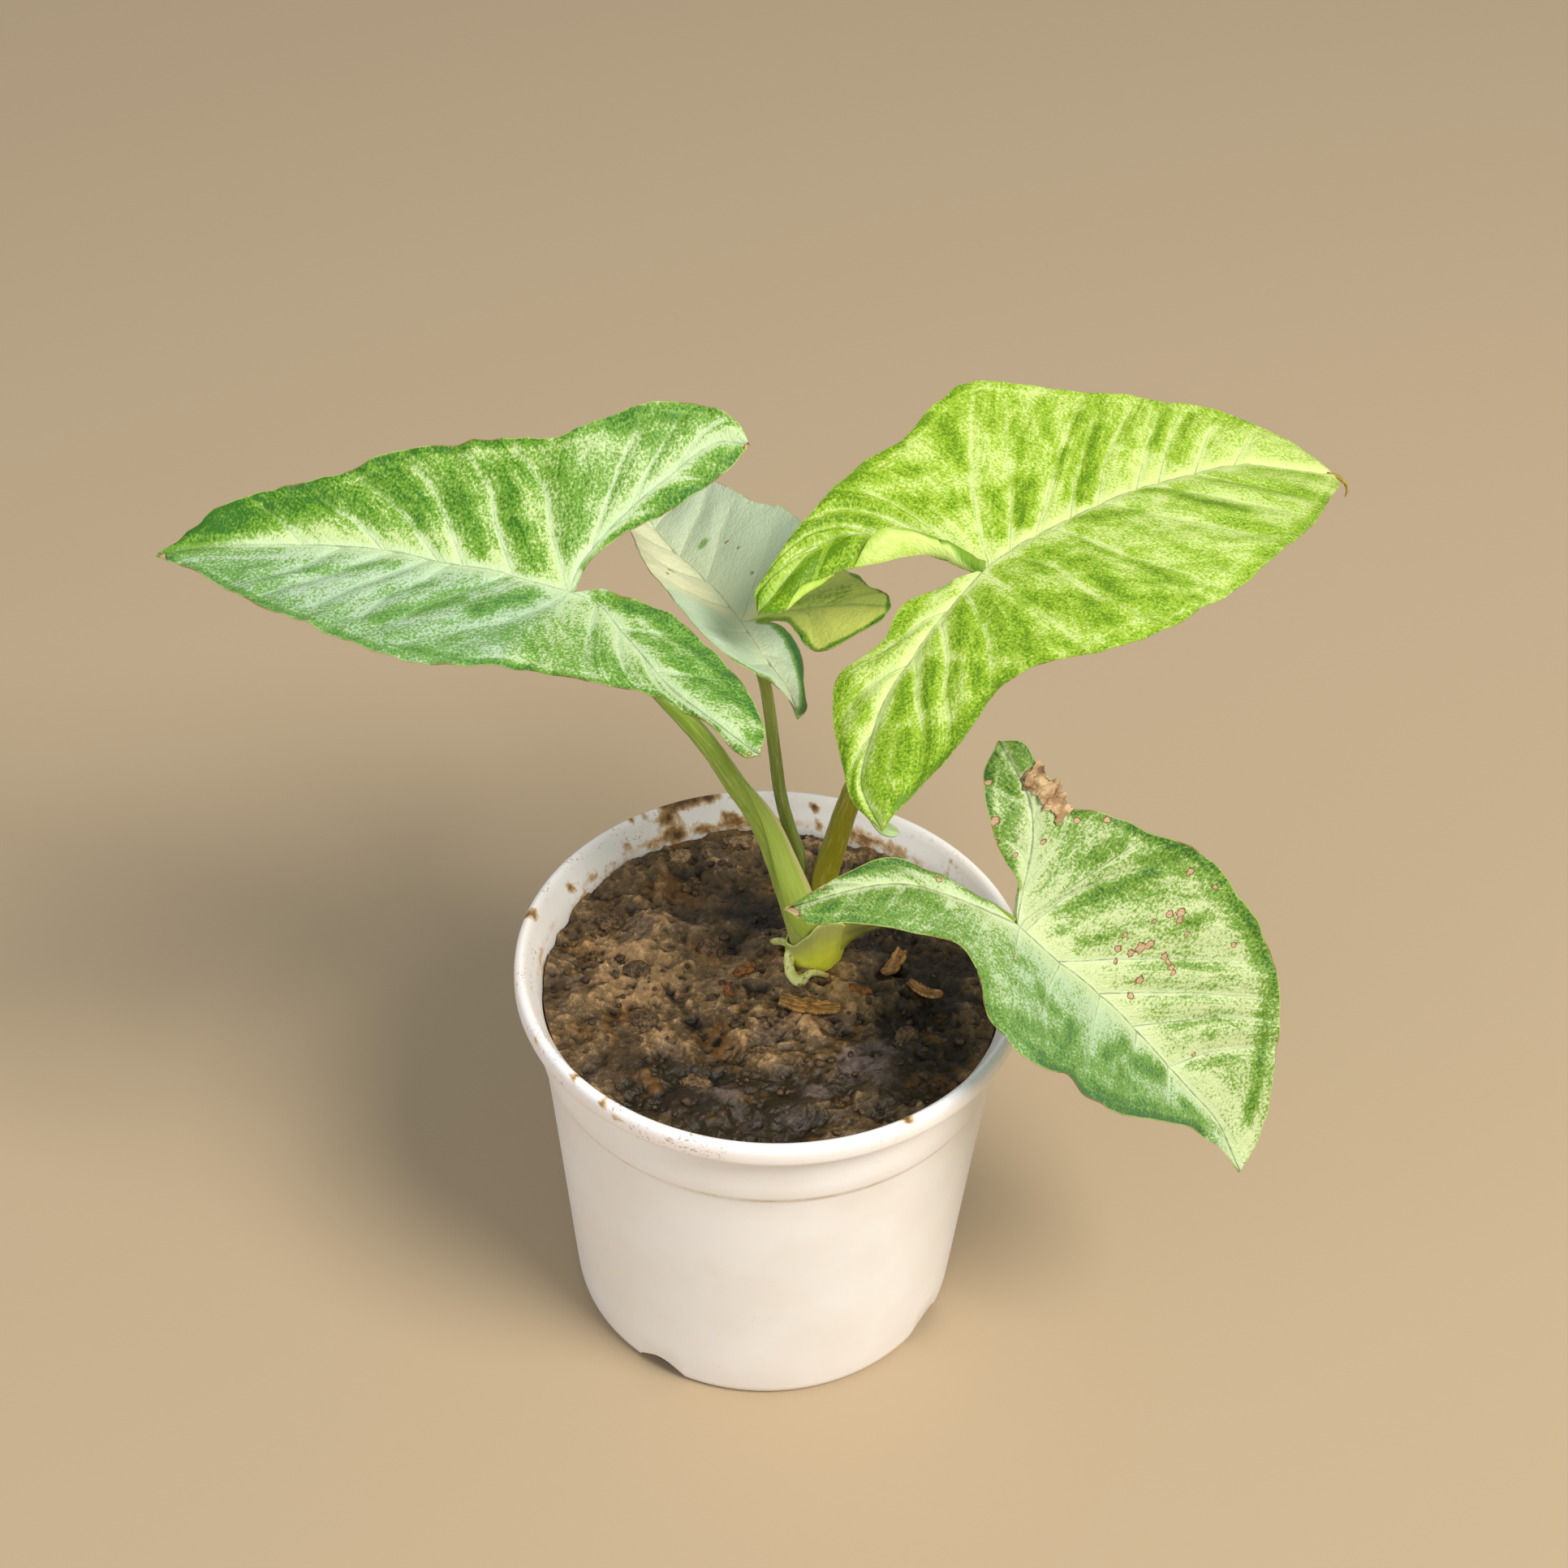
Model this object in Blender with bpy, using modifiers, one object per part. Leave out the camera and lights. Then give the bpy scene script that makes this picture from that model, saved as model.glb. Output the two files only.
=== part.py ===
"""Potted syngonium: four variegated arrow leaves growing from one crown in a round nursery pot.

Lengths are in millimetres and become metres when a mesh is made. In the working frame the
pot's axis is x = y = 0 and its foot stands at z = 0. The last step moves everything together,
so that the model's origin is the middle of its bounding box's underside.
"""

import math

import bmesh
import bpy
import numpy as np
from mathutils import Matrix, Vector

MM = 0.001
GAP = 0.35              # clearance between two pieces that touch

# Pot: a turned shell with a rolled lip, a second band under it and a tapered body.
TURN_STEPS = 48
RIM_RADIUS = 62.4
RIM_HEIGHT = 107.4
LIP_HEIGHT = 6.2        # the rolled lip, top to bottom
BAND_TOP_RADIUS = 57.9
BAND_FOOT_RADIUS = 56.8
BAND_FOOT_HEIGHT = 83.4
BODY_TOP_RADIUS = 56.0
BASE_RADIUS = 49.0
WALL = 1.6
FLOOR_UNDERSIDE = 2.0
FOOT_WIDTH = 3.6
NOTCH_COUNT = 4
NOTCH_TURN = -30.5      # degrees from +x to the first drain notch
NOTCH_RADIUS = 8.0      # the arched cutter, and how far its axis lies under the foot
NOTCH_AXIS_DROP = 2.6
NOTCH_FROM = 41.0       # its cutter runs outwards from here, through floor, foot and wall
NOTCH_LENGTH = 12.0

# Soil: a plug that fills the pot to about 10 mm under the rim, with a mound at the crown.
SOIL_LEVEL = 96.8
SOIL_RINGS = (4, 9, 14, 20, 26, 32, 38, 44, 50, 54.6)
MOUND_RISE = 4.2
MOUND_WIDTH = 17.0

# Crown: the short stem that every leaf stalk leaves from. Its foot is sunk in the soil.
CROWN = (9.9, 9.3)
CROWN_TOP = 107.0
CROWN_FOOT = 90.0
CROWN_RADII = (4.2, 4.6, 5.3, 5.4)
SOCKET_RADIUS = CROWN_RADII[1] + GAP + 0.3

BLADE_THICKNESS = 0.6
MIDRIB_STATIONS = 13    # rungs of the blade between its tip and its joint with the stalk
LOBE_STATIONS = 11      # rungs of each basal lobe
HALF_RUNGS = 4          # steps from a vein out to the margin
CREASE = 6.0            # how softly a blade folds along its midrib

COLOURS = {
    "pot_plastic": ((0.86, 0.80, 0.72), 0.42),
    "soil_wet": ((0.10, 0.062, 0.038), 0.55),
    "crown_green": ((0.52, 0.62, 0.18), 0.45),
    "stalk_green": ((0.30, 0.45, 0.12), 0.42),
    "stalk_olive": ((0.27, 0.33, 0.06), 0.42),
    "leaf_white_green": ((0.42, 0.60, 0.30), 0.45),
    "leaf_lime": ((0.50, 0.70, 0.12), 0.42),
    "leaf_cream": ((0.62, 0.72, 0.50), 0.48),
    "root_pale": ((0.55, 0.58, 0.30), 0.50),
    "bark_brown": ((0.33, 0.17, 0.06), 0.60),
    "chip_orange": ((0.40, 0.16, 0.04), 0.60),
    "clod_brown": ((0.16, 0.10, 0.06), 0.65),
    "crumb_pale": ((0.62, 0.50, 0.36), 0.85),
}

# Each blade lies on a bent sheet. Its flat outline is given as (along, across): along the
# midrib from the joint towards the tip, and across it, + to the left seen from above with the
# tip ahead. "shoulder" is the margin point where the first lobe rung meets the margin.
#   joint           where the stalk meets the blade
#   heading, pitch, roll   degrees: way the midrib points, its rise, and the sheet's turn on it
#   arch            downward curvature of the midrib ahead of the joint and of the lobes behind
#   fold            rise of the + and - halves away from the midrib
#   droop           how the + and - halves bend down again towards their margins
#   twist, bow, side   twist along the midrib; the midrib's own sideways bow and tip offset
BLADES = {
    "leaf_blade_left": dict(
        material="leaf_white_green", joint=(-46.1, 0.0, 216.2),
        heading=170, pitch=-3, roll=-12, arch=(0.0005, 0.004), fold=(0.30, 0.55),
        droop=(0.002, -0.001), twist=-0.0006, bow=-5.6, side=0.0,
        tip=(95, 0),
        outer_plus=[(84, 5), (65, 15), (45, 24), (26, 30)], shoulder_plus=(8, 28),
        lobe_plus=[(-12, 29.5), (-26, 32), (-39, 38), (-48, 46)], lobe_tip_plus=(-51, 44),
        inner_plus=[(-50, 35), (-43, 23), (-33, 12), (-21, 3), (-9, -1)],
        vein_plus=[(-17, 13), (-36, 28)],
        outer_minus=[(90, -7), (79, -15), (60, -21), (46, -27), (24, -31)],
        shoulder_minus=(6, -32),
        lobe_minus=[(-8, -38.5), (-20, -41), (-30, -39)], lobe_tip_minus=(-34, -35),
        inner_minus=[(-29, -28), (-18, -19), (-7, -12), (-1, -6)],
        vein_minus=[(-9, -18), (-21, -31)],
    ),
    "leaf_blade_right": dict(
        material="leaf_lime", joint=(43.3, 0.0, 226.3),
        heading=41, pitch=7, roll=-4, arch=(0.0058, 0.009), fold=(0.32, 0.10),
        droop=(0.0, 0.005), twist=0.0013, bow=3.6, side=-3.0,
        tip=(107, -3),
        outer_plus=[(107, 6), (95, 17), (76, 25), (60, 31), (46, 38), (35, 43), (24, 41.5)],
        shoulder_plus=(10, 37.5),
        lobe_plus=[(-6, 37), (-20, 35), (-32, 33), (-39, 31)], lobe_tip_plus=(-42, 27),
        inner_plus=[(-39, 22.5), (-32, 22), (-25, 21), (-18, 17), (-10, 13), (-4, 8)],
        vein_plus=[(-8, 17), (-20, 28)],
        outer_minus=[(102, -9), (93, -14.5), (76, -25), (57, -33), (40, -38.5), (26, -41)],
        shoulder_minus=(13, -42),
        lobe_minus=[(-1, -39), (-13, -33), (-24, -30.5), (-38, -34), (-51, -34)],
        lobe_tip_minus=(-61, -34),
        inner_minus=[(-60, -24), (-55, -15), (-48, -4), (-40, 3), (-30, 1), (-20, 4.5), (-9, 2)],
        vein_minus=[(-20, -9), (-42, -18)],
    ),
    "leaf_blade_front": dict(
        material="leaf_cream", joint=(56.4, -20.0, 139.9),
        heading=-16, pitch=-36, roll=15, arch=(0.0028, 0.007), fold=(0.75, 0.40),
        droop=(-0.002, 0.001), twist=0.0012, bow=1.5, side=-8.0,
        tip=(83, -8),
        outer_plus=[(81, 2), (74, 11), (64, 21), (52, 28), (38, 31.5), (24, 33)],
        shoulder_plus=(11, 30),
        lobe_plus=[(-1, 27), (-9, 24), (-17, 26.5), (-25, 29)], lobe_tip_plus=(-30, 27),
        inner_plus=[(-28, 21), (-22, 14.5), (-13, 10), (-5, 6.5)],
        vein_plus=[(-9, 14), (-20, 21)],
        outer_minus=[(73, -8), (63, -11), (50, -19.5), (40, -26), (30, -29), (24, -28.5),
                     (17, -32.5)],
        shoulder_minus=(7, -33),
        lobe_minus=[(-1, -29.5), (-6, -20), (-13, -18.5), (-24, -23.5), (-37, -32), (-46, -40)],
        lobe_tip_minus=(-52, -40),
        inner_minus=[(-47, -29), (-41, -17), (-34, -6.5), (-23, -2.5), (-10, -0.5)],
        vein_minus=[(-18, -11), (-36, -20)],
    ),
    "leaf_blade_back": dict(
        material="leaf_cream", joint=(-9.4, 20.0, 194.6),
        heading=117, pitch=-3, roll=12, arch=(0.001, -0.001), fold=(0.60, 0.80),
        droop=(0.001, -0.002), twist=0.0004, bow=4.0, side=-4.0,
        tip=(70, -4),
        outer_plus=[(62, 3), (45, 9), (30, 14), (15, 18)], shoulder_plus=(3, 20),
        lobe_plus=[(-8, 20.5), (-19, 20), (-26, 15), (-29, 8), (-37, 6.5)],
        lobe_tip_plus=(-46, 9),
        inner_plus=[(-40, 3.5), (-30, -0.5), (-20, -4), (-10, -5), (-3, -3)],
        vein_plus=[(-13, 5), (-28, 3.5)],
        outer_minus=[(63, -11.5), (50, -15), (34, -16.5), (24, -20)], shoulder_minus=(8, -21),
        lobe_minus=[(-4, -22), (-14, -24)], lobe_tip_minus=(-23, -25),
        inner_minus=[(-25, -18), (-21, -11.5), (-15, -9), (-8, -8), (-2.5, -5)],
        vein_minus=[(-8, -12), (-16, -19)],
    ),
}

# Leaf stalks, from the crown to their blades: route points and the radius at each of them.
# The last stretch, up to the blade's underside, is worked out from the blade itself.
STALKS = {
    "petiole_left": dict(
        blade="leaf_blade_left", material="stalk_green",
        route=[(7.0, 6.9, 108.0), (7.0, 6.9, 110), (4.2, 7.3, 119.5), (0.4, 6.8, 132.7),
               (-4.0, 6.0, 146.1), (-9.9, 5.0, 158.0), (-18.0, 4.0, 173.2), (-33.0, 2.0, 195.0)],
        radii=[2.8, 2.8, 2.8, 2.7, 2.6, 2.5, 2.4, 2.2, 1.9],
    ),
    "petiole_right": dict(
        blade="leaf_blade_right", material="stalk_olive",
        route=[(11.4, 12.4, 107.8), (11.4, 12.3, 110), (11.6, 11.7, 117), (12.3, 10.2, 126),
               (14.4, 9.0, 138.0), (17.2, 8.0, 151.6), (24.5, 6.0, 178.0), (34.0, 3.0, 205.0)],
        radii=[3.0, 3.1, 3.3, 3.2, 2.9, 2.7, 2.4, 2.2, 1.9],
    ),
    "petiole_back": dict(
        blade="leaf_blade_back", material="stalk_olive",
        route=[(5.2, 13.2, 107.6), (5.2, 13.2, 110), (5.6, 13.0, 119), (6.0, 12.4, 127.6),
               (2.8, 12.6, 139.4), (0.6, 13.4, 149.0), (-1.0, 14.6, 161.0), (-4.0, 17.0, 180.0)],
        radii=[1.7, 1.7, 1.7, 1.7, 1.6, 1.6, 1.5, 1.4, 1.3],
    ),
    "petiole_front": dict(
        blade="leaf_blade_front", material="crown_green",
        route=[(18.0, 8.3, 105.2), (19.3, 7.6, 106.8), (21.3, 6.1, 110.8), (25.8, 2.4, 118.8),
               (37.7, -6.0, 131.5), (47.5, -13.0, 138.8)],
        radii=[2.9, 2.9, 2.8, 2.6, 2.3, 2.1, 1.9],
    ),
}

# The membrane that clasps the left stalk: its way round the stalk at its foot and its top.
SHEATH_STATIONS = 12
SHEATH_STEPS = 5
SHEATH_FROM, SHEATH_TO = -100.0, 12.0    # degrees round the stalk, from +x
SHEATH_SPREAD = 2.2                       # how far its free edge stands off the stalk
SHEATH_THICKNESS = 0.5

# The free tongue at the top of the right stalk's sheath, bent out and down: the middle line,
# its width at evenly spaced places along that line, and the way its width points.
TONGUE_SPINE = [(21.3, 6.9, 155.0), (25.0, 7.2, 154.0), (28.2, 8.0, 148.5), (29.6, 8.6, 141.6)]
TONGUE_WIDTHS = (3.6, 4.0, 4.2, 4.2, 4.0, 3.4, 2.4, 0.8)
TONGUE_ACROSS = (0.25, -0.35, 0.9)

AERIAL_ROOT = dict(start=(3.6, 6.8), ground=[(2.8, 4.4), (3.8, 0.6), (7.2, -1.4), (11.0, -0.2),
                                             (14.4, 1.8)], radius=1.2)
ROOT_STUB = dict(ground=[(3.4, 9.6), (0.2, 10.6)], radius=1.1)

# Loose pieces lying on the soil: place, size, turn in degrees.
LUMP_SUBDIVISIONS = 2
FLAKE_THICKNESS = 0.8
FLAKE_LIFT = FLAKE_THICKNESS / 2 + 0.5
CLODS = [((-33, 4), (3.6, 2.9, 1.6), 20), ((-41, 20), (3.0, 2.4, 1.4), 70),
         ((-30, -15), (3.2, 2.6, 1.5), 130), ((-2, -23), (3.4, 2.5, 1.3), 10),
         ((-17, -33), (3.0, 2.2, 1.2), 160), ((33, -16), (3.2, 2.6, 1.4), 45),
         ((-16, 12), (2.8, 2.2, 1.3), 95), ((-21, 36), (2.7, 2.1, 1.2), 35)]
CHIPS = [((-6.5, 3.5), (3.4, 1.7, 1.0), 35), ((-10.5, -2.5), (2.6, 1.4, 0.9), 110),
         ((21.5, -3.0), (3.2, 1.5, 0.9), -20)]
CRUMBS = [((-9, 49.5), (3.8, 1.9, 1.3), 12), ((17, 47.5), (3.2, 1.8, 1.2), -20),
          ((-24, 43), (2.4, 1.6, 1.1), 40)]
BARK_FLAKE = dict(place=(9.5, -9.5), length=15.0, width=4.6, curl=0.9, turn=-8)
CURLED_SCRAPS = [dict(place=(30.0, 7.5), length=9.5, width=3.4, curl=1.6, turn=62),
                 dict(place=(37.5, -2.0), length=9.0, width=3.0, curl=1.4, turn=-30)]


# Small helpers -----------------------------------------------------------------------------

def smooth_line(points, count):
    """Points evenly spaced along a Catmull-Rom curve through the given ones."""
    given = np.asarray(points, float)
    padded = np.vstack([2 * given[0] - given[1], given, 2 * given[-1] - given[-2]])
    share = np.linspace(0, 1, 16, endpoint=False)[:, None]
    pieces = []
    for i in range(len(given) - 1):
        before, start, end, after = padded[i:i + 4]
        pieces.append(0.5 * (2 * start + (end - before) * share
                             + (2 * before - 5 * start + 4 * end - after) * share ** 2
                             + (3 * start - before - 3 * end + after) * share ** 3))
    curve = np.vstack(pieces + [given[-1:]])
    travelled = np.concatenate([[0], np.cumsum(np.linalg.norm(np.diff(curve, axis=0), axis=1))])
    wanted = np.linspace(0, travelled[-1], count)
    return np.stack([np.interp(wanted, travelled, axis) for axis in curve.T], axis=1)


def make_material(name):
    colour, roughness = COLOURS[name]
    material = bpy.data.materials.new(name)
    material.use_nodes = True
    surface = material.node_tree.nodes["Principled BSDF"]
    surface.inputs["Base Color"].default_value = (*colour, 1)
    surface.inputs["Roughness"].default_value = roughness
    surface.inputs["Metallic"].default_value = 0.0
    material.diffuse_color = (*colour, 1)
    return material


def add_piece(name, data, material):
    """One named piece of the plant, from a mesh or curve whose points are in millimetres."""
    data.name = name
    data.transform(Matrix.Scale(MM, 4))
    data.materials.append(material)
    piece = bpy.data.objects.new(name, data)
    parts.objects.link(piece)
    piece.parent = stand
    return piece


def add_cutter(name, mesh):
    mesh.transform(Matrix.Scale(MM, 4))
    cutter = bpy.data.objects.new(name, mesh)
    cutters.objects.link(cutter)
    cutter.hide_render = True
    cutter.display_type = "WIRE"
    cutter.parent = stand
    return cutter


def cut(piece, cutter):
    boolean = piece.modifiers.new(cutter.name, "BOOLEAN")
    boolean.operation = "DIFFERENCE"
    boolean.object = cutter


def rod_mesh(name, radius, length, matrix, sides=24):
    """A cylinder about the z axis, from z = 0 up, placed by a matrix."""
    body = bmesh.new()
    bmesh.ops.create_cone(body, cap_ends=True, segments=sides, radius1=radius, radius2=radius,
                          depth=length, matrix=matrix @ Matrix.Translation((0, 0, length / 2)))
    mesh = bpy.data.meshes.new(name)
    body.to_mesh(mesh)
    body.free()
    return mesh


def turned_mesh(name, profile):
    """Turn a profile of (radius, height) points about the z axis with a Screw modifier."""
    outline = bpy.data.meshes.new(name + "_profile")
    points = [(radius, 0, height) for radius, height in profile]
    outline.from_pydata(points, [(i, i + 1) for i in range(len(points) - 1)], [])
    turned = bpy.data.objects.new(name + "_turned", outline)
    cutters.objects.link(turned)
    screw = turned.modifiers.new("turn", "SCREW")
    screw.steps = TURN_STEPS
    screw.render_steps = TURN_STEPS
    screw.use_merge_vertices = True
    screw.merge_threshold = 0.0001
    graph = bpy.context.evaluated_depsgraph_get()
    mesh = bpy.data.meshes.new_from_object(turned.evaluated_get(graph))
    bpy.data.objects.remove(turned)
    return mesh


def loft(name, patches, thickness, material):
    """A thin shell through patches of point rows, welded where the patches share points."""
    skin = bmesh.new()
    for rows in patches:
        grid = np.asarray(rows)
        made = bmesh.ops.create_grid(skin, x_segments=grid.shape[1] - 1,
                                     y_segments=grid.shape[0] - 1, size=1)
        for vertex, point in zip(made["verts"], grid.reshape(-1, 3)):
            vertex.co = point
    bmesh.ops.remove_doubles(skin, verts=skin.verts, dist=0.02)
    bmesh.ops.dissolve_degenerate(skin, dist=0.02, edges=skin.edges)
    bmesh.ops.recalc_face_normals(skin, faces=skin.faces)
    mesh = bpy.data.meshes.new(name)
    skin.to_mesh(mesh)
    skin.free()
    mesh.shade_smooth()
    piece = add_piece(name, mesh, material)
    shell = piece.modifiers.new("thickness", "SOLIDIFY")
    shell.thickness = thickness * MM
    shell.offset = 0
    return piece


def tube(name, route, radii, material, points=14, resolution=3):
    """A round stalk through a route, its radius changing evenly from point to point."""
    smooth = smooth_line([(*place, radius) for place, radius in zip(route, radii)], points)
    curve = bpy.data.curves.new(name, "CURVE")
    curve.dimensions = "3D"
    curve.bevel_depth = 1.0
    curve.bevel_resolution = resolution
    curve.use_fill_caps = True
    spline = curve.splines.new("POLY")
    spline.points.add(points - 1)
    for point, (x, y, z, radius) in zip(spline.points, smooth):
        point.co = (x, y, z, 1)
        point.radius = radius
    holder = bpy.data.objects.new(name + "_curve", curve)
    cutters.objects.link(holder)
    graph = bpy.context.evaluated_depsgraph_get()
    mesh = bpy.data.meshes.new_from_object(holder.evaluated_get(graph))
    bpy.data.objects.remove(holder)
    body = bmesh.new()
    body.from_mesh(mesh)
    bmesh.ops.remove_doubles(body, verts=body.verts, dist=0.001)
    bmesh.ops.recalc_face_normals(body, faces=body.faces)
    body.to_mesh(mesh)
    body.free()
    mesh.shade_smooth()
    return add_piece(name, mesh, material)


# Pot ---------------------------------------------------------------------------------------

def pot_inner_wall():
    """The inner wall's (radius, height) points, floor corner to rim."""
    taper_top = BAND_FOOT_HEIGHT - 1.0
    return [(BASE_RADIUS - WALL - 2.0, FLOOR_UNDERSIDE + WALL),
            (BASE_RADIUS - WALL + 0.3, FLOOR_UNDERSIDE + WALL + 3.0),
            (BODY_TOP_RADIUS - WALL, taper_top),
            (BAND_FOOT_RADIUS - WALL, BAND_FOOT_HEIGHT + 1.0),
            (BAND_TOP_RADIUS - WALL - 0.4, RIM_HEIGHT - LIP_HEIGHT - 1.2),
            (BAND_TOP_RADIUS + 0.6, RIM_HEIGHT - 3.4),
            (RIM_RADIUS - 3.0, RIM_HEIGHT - 1.0),
            (RIM_RADIUS - 2.4, RIM_HEIGHT - 0.2)]


def build_pot():
    lip_foot = RIM_HEIGHT - LIP_HEIGHT
    outside = [(RIM_RADIUS - 1.4, RIM_HEIGHT), (RIM_RADIUS - 0.4, RIM_HEIGHT - 0.4),
               (RIM_RADIUS, RIM_HEIGHT - 1.4), (RIM_RADIUS, lip_foot + 0.8),
               (RIM_RADIUS - 0.6, lip_foot), (BAND_TOP_RADIUS, lip_foot - 0.6),
               (BAND_FOOT_RADIUS, BAND_FOOT_HEIGHT), (BODY_TOP_RADIUS, BAND_FOOT_HEIGHT - 1.0),
               (BASE_RADIUS + 0.2, 3.0), (BASE_RADIUS - 0.4, 0.8), (BASE_RADIUS - 1.4, 0.0),
               (BASE_RADIUS - FOOT_WIDTH, 0.0), (BASE_RADIUS - FOOT_WIDTH - 0.8, FLOOR_UNDERSIDE)]
    floor = FLOOR_UNDERSIDE + WALL
    profile = [(0, floor)] + pot_inner_wall() + outside + [(0, FLOOR_UNDERSIDE)]
    mesh = turned_mesh("pot", profile)
    mesh.shade_smooth()
    pot = add_piece("pot", mesh, make_material("pot_plastic"))
    for k in range(NOTCH_COUNT):
        turn = math.radians(NOTCH_TURN + 360 / NOTCH_COUNT * k)
        lay = (Matrix.Rotation(turn, 4, "Z") @ Matrix.Translation((NOTCH_FROM, 0, -NOTCH_AXIS_DROP))
               @ Matrix.Rotation(math.pi / 2, 4, "Y"))
        arch = rod_mesh("notch", NOTCH_RADIUS, NOTCH_LENGTH, lay)
        cut(pot, add_cutter(f"drain_notch_{k + 1}", arch))


# Soil --------------------------------------------------------------------------------------

def soil_height(x, y):
    """Height of the wet soil's top: level, with shallow lumps and a mound at the crown."""
    mound = MOUND_RISE * math.exp(-((x - CROWN[0]) ** 2 + (y - CROWN[1]) ** 2)
                                  / MOUND_WIDTH ** 2)
    lumps = 0.5 * math.sin(0.19 * x + 1.0) * math.sin(0.17 * y - 0.5)
    fine = 0.25 * math.sin(0.41 * x - 0.29 * y)
    return SOIL_LEVEL + mound + lumps + fine


def build_soil():
    radii, heights = zip(*pot_inner_wall())
    corner, foot, taper_top, band_foot = heights[:4]
    top = [(0, SOIL_LEVEL)] + [(radius, SOIL_LEVEL) for radius in SOIL_RINGS]
    side = [(np.interp(height, heights, radii) - GAP, height)
            for height in (SOIL_LEVEL - 2.0, band_foot, taper_top, foot)]
    floor = corner + GAP
    mesh = turned_mesh("soil", top + side + [(radii[0] - GAP, floor), (0, floor)])
    for vertex in mesh.vertices:
        if abs(vertex.co.z - SOIL_LEVEL) < 0.01:
            vertex.co.z = soil_height(vertex.co.x, vertex.co.y)
    mesh.shade_smooth()
    soil = add_piece("soil", mesh, make_material("soil_wet"))
    sink = Matrix.Translation((*CROWN, CROWN_FOOT - GAP))
    cut(soil, add_cutter("crown_socket", rod_mesh("socket", SOCKET_RADIUS, 30, sink)))


# Plant -------------------------------------------------------------------------------------

def sheet_frame(leaf):
    """Unit vectors along the midrib, across it and off the blade's upper face."""
    heading, pitch, roll = (math.radians(leaf[key]) for key in ("heading", "pitch", "roll"))
    along = np.array([math.cos(heading) * math.cos(pitch), math.sin(heading) * math.cos(pitch),
                      math.sin(pitch)])
    level = np.array([-math.sin(heading), math.cos(heading), 0])
    up = np.cross(along, level)
    across = math.cos(roll) * level + math.sin(roll) * up
    return along, across, np.cross(along, across)


def midrib_offset(leaf, along):
    """How far the midrib lies to the side of a straight line, at a distance from the joint."""
    share = np.clip(along / leaf["tip"][0], 0, 1)
    return leaf["bow"] * 4 * share * (1 - share) + leaf["side"] * share ** 2


def blade_rise(leaf, along, across):
    """Height of the bent blade over its flat sheet."""
    off_rib = across - midrib_offset(leaf, along)
    plus = off_rib > 0
    fold = np.where(plus, *leaf["fold"]) * (np.sqrt(off_rib ** 2 + CREASE ** 2) - CREASE)
    droop = np.where(plus, *leaf["droop"]) * across ** 2 / 2
    arch = np.where(along > 0, *leaf["arch"]) * along ** 2 / 2
    return fold - droop - arch + leaf["twist"] * along * across


def bend(leaf, flat):
    """Carry flat (along, across) points onto the bent blade."""
    along, across, normal = sheet_frame(leaf)
    flat = np.asarray(flat, float)
    rise = blade_rise(leaf, flat[..., 0], flat[..., 1])
    return (np.array(leaf["joint"]) + flat[..., :1] * along + flat[..., 1:] * across
            + rise[..., None] * normal)


def between(inner, outer, steps):
    """Rows of points from one line to another, the first line's points included."""
    share = np.linspace(0, 1, steps + 1)[None, :, None]
    return inner[:, None, :] * (1 - share) + outer[:, None, :] * share


def blade_patches(leaf):
    """Three grids that make one blade: the part ahead of the joint and its two basal lobes."""
    reach = np.linspace(leaf["tip"][0], 0, MIDRIB_STATIONS)
    midrib = np.stack([reach, midrib_offset(leaf, reach)], axis=1)
    midrib[0] = leaf["tip"]
    patches, halves = [], []
    for side in ("plus", "minus"):
        shoulder = leaf["shoulder_" + side]
        lobe_tip = leaf["lobe_tip_" + side]
        margin = smooth_line([leaf["tip"]] + leaf["outer_" + side] + [shoulder]
                             + leaf["lobe_" + side][:1], 400)
        reached = np.argmin(np.linalg.norm(margin - np.array(shoulder), axis=1))
        ahead = smooth_line(margin[:reached + 1:8], MIDRIB_STATIONS)
        ahead[-1] = shoulder
        halves.append(between(midrib, ahead, HALF_RUNGS))
        outer = smooth_line([shoulder] + leaf["lobe_" + side] + [lobe_tip], LOBE_STATIONS)
        inner = smooth_line([lobe_tip] + leaf["inner_" + side] + [(0, 0)], LOBE_STATIONS)[::-1]
        vein = smooth_line([(0, 0)] + leaf["vein_" + side] + [lobe_tip], LOBE_STATIONS)
        inward = between(vein, inner, HALF_RUNGS - 1)[:, ::-1]
        patches.append(np.concatenate([inward[:, :-1], between(vein, outer, HALF_RUNGS)], axis=1))
    patches.append(np.concatenate([halves[1][:, ::-1][:, :-1], halves[0]], axis=1))
    return patches


def build_blades(materials):
    for name, leaf in BLADES.items():
        patches = [bend(leaf, patch) for patch in blade_patches(leaf)]
        loft(name, patches, BLADE_THICKNESS, materials[leaf["material"]])


def stalk_end(leaf, last_point, radius):
    """Where a stalk stops, just under its blade's joint."""
    joint = np.array(leaf["joint"])
    normal = sheet_frame(leaf)[2]
    way = joint - np.array(last_point)
    way = way / np.linalg.norm(way)
    lean = math.sqrt(max(0.0, 1 - float(way @ normal) ** 2))
    return joint - normal * (BLADE_THICKNESS / 2 + GAP + 0.15 + radius * lean)


def build_stalks(materials):
    for name, stalk in STALKS.items():
        end = stalk_end(BLADES[stalk["blade"]], stalk["route"][-1], stalk["radii"][-1])
        tube(name, stalk["route"] + [tuple(end)], stalk["radii"], materials[stalk["material"]])


def build_crown(materials):
    x, y = CROWN
    route = [(x, y, CROWN_FOOT), (x, y, SOIL_LEVEL + 1), (x, y, CROWN_TOP - 2), (x, y, CROWN_TOP)]
    tube("crown_stem", route, CROWN_RADII, materials["crown_green"], points=7, resolution=4)


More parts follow.
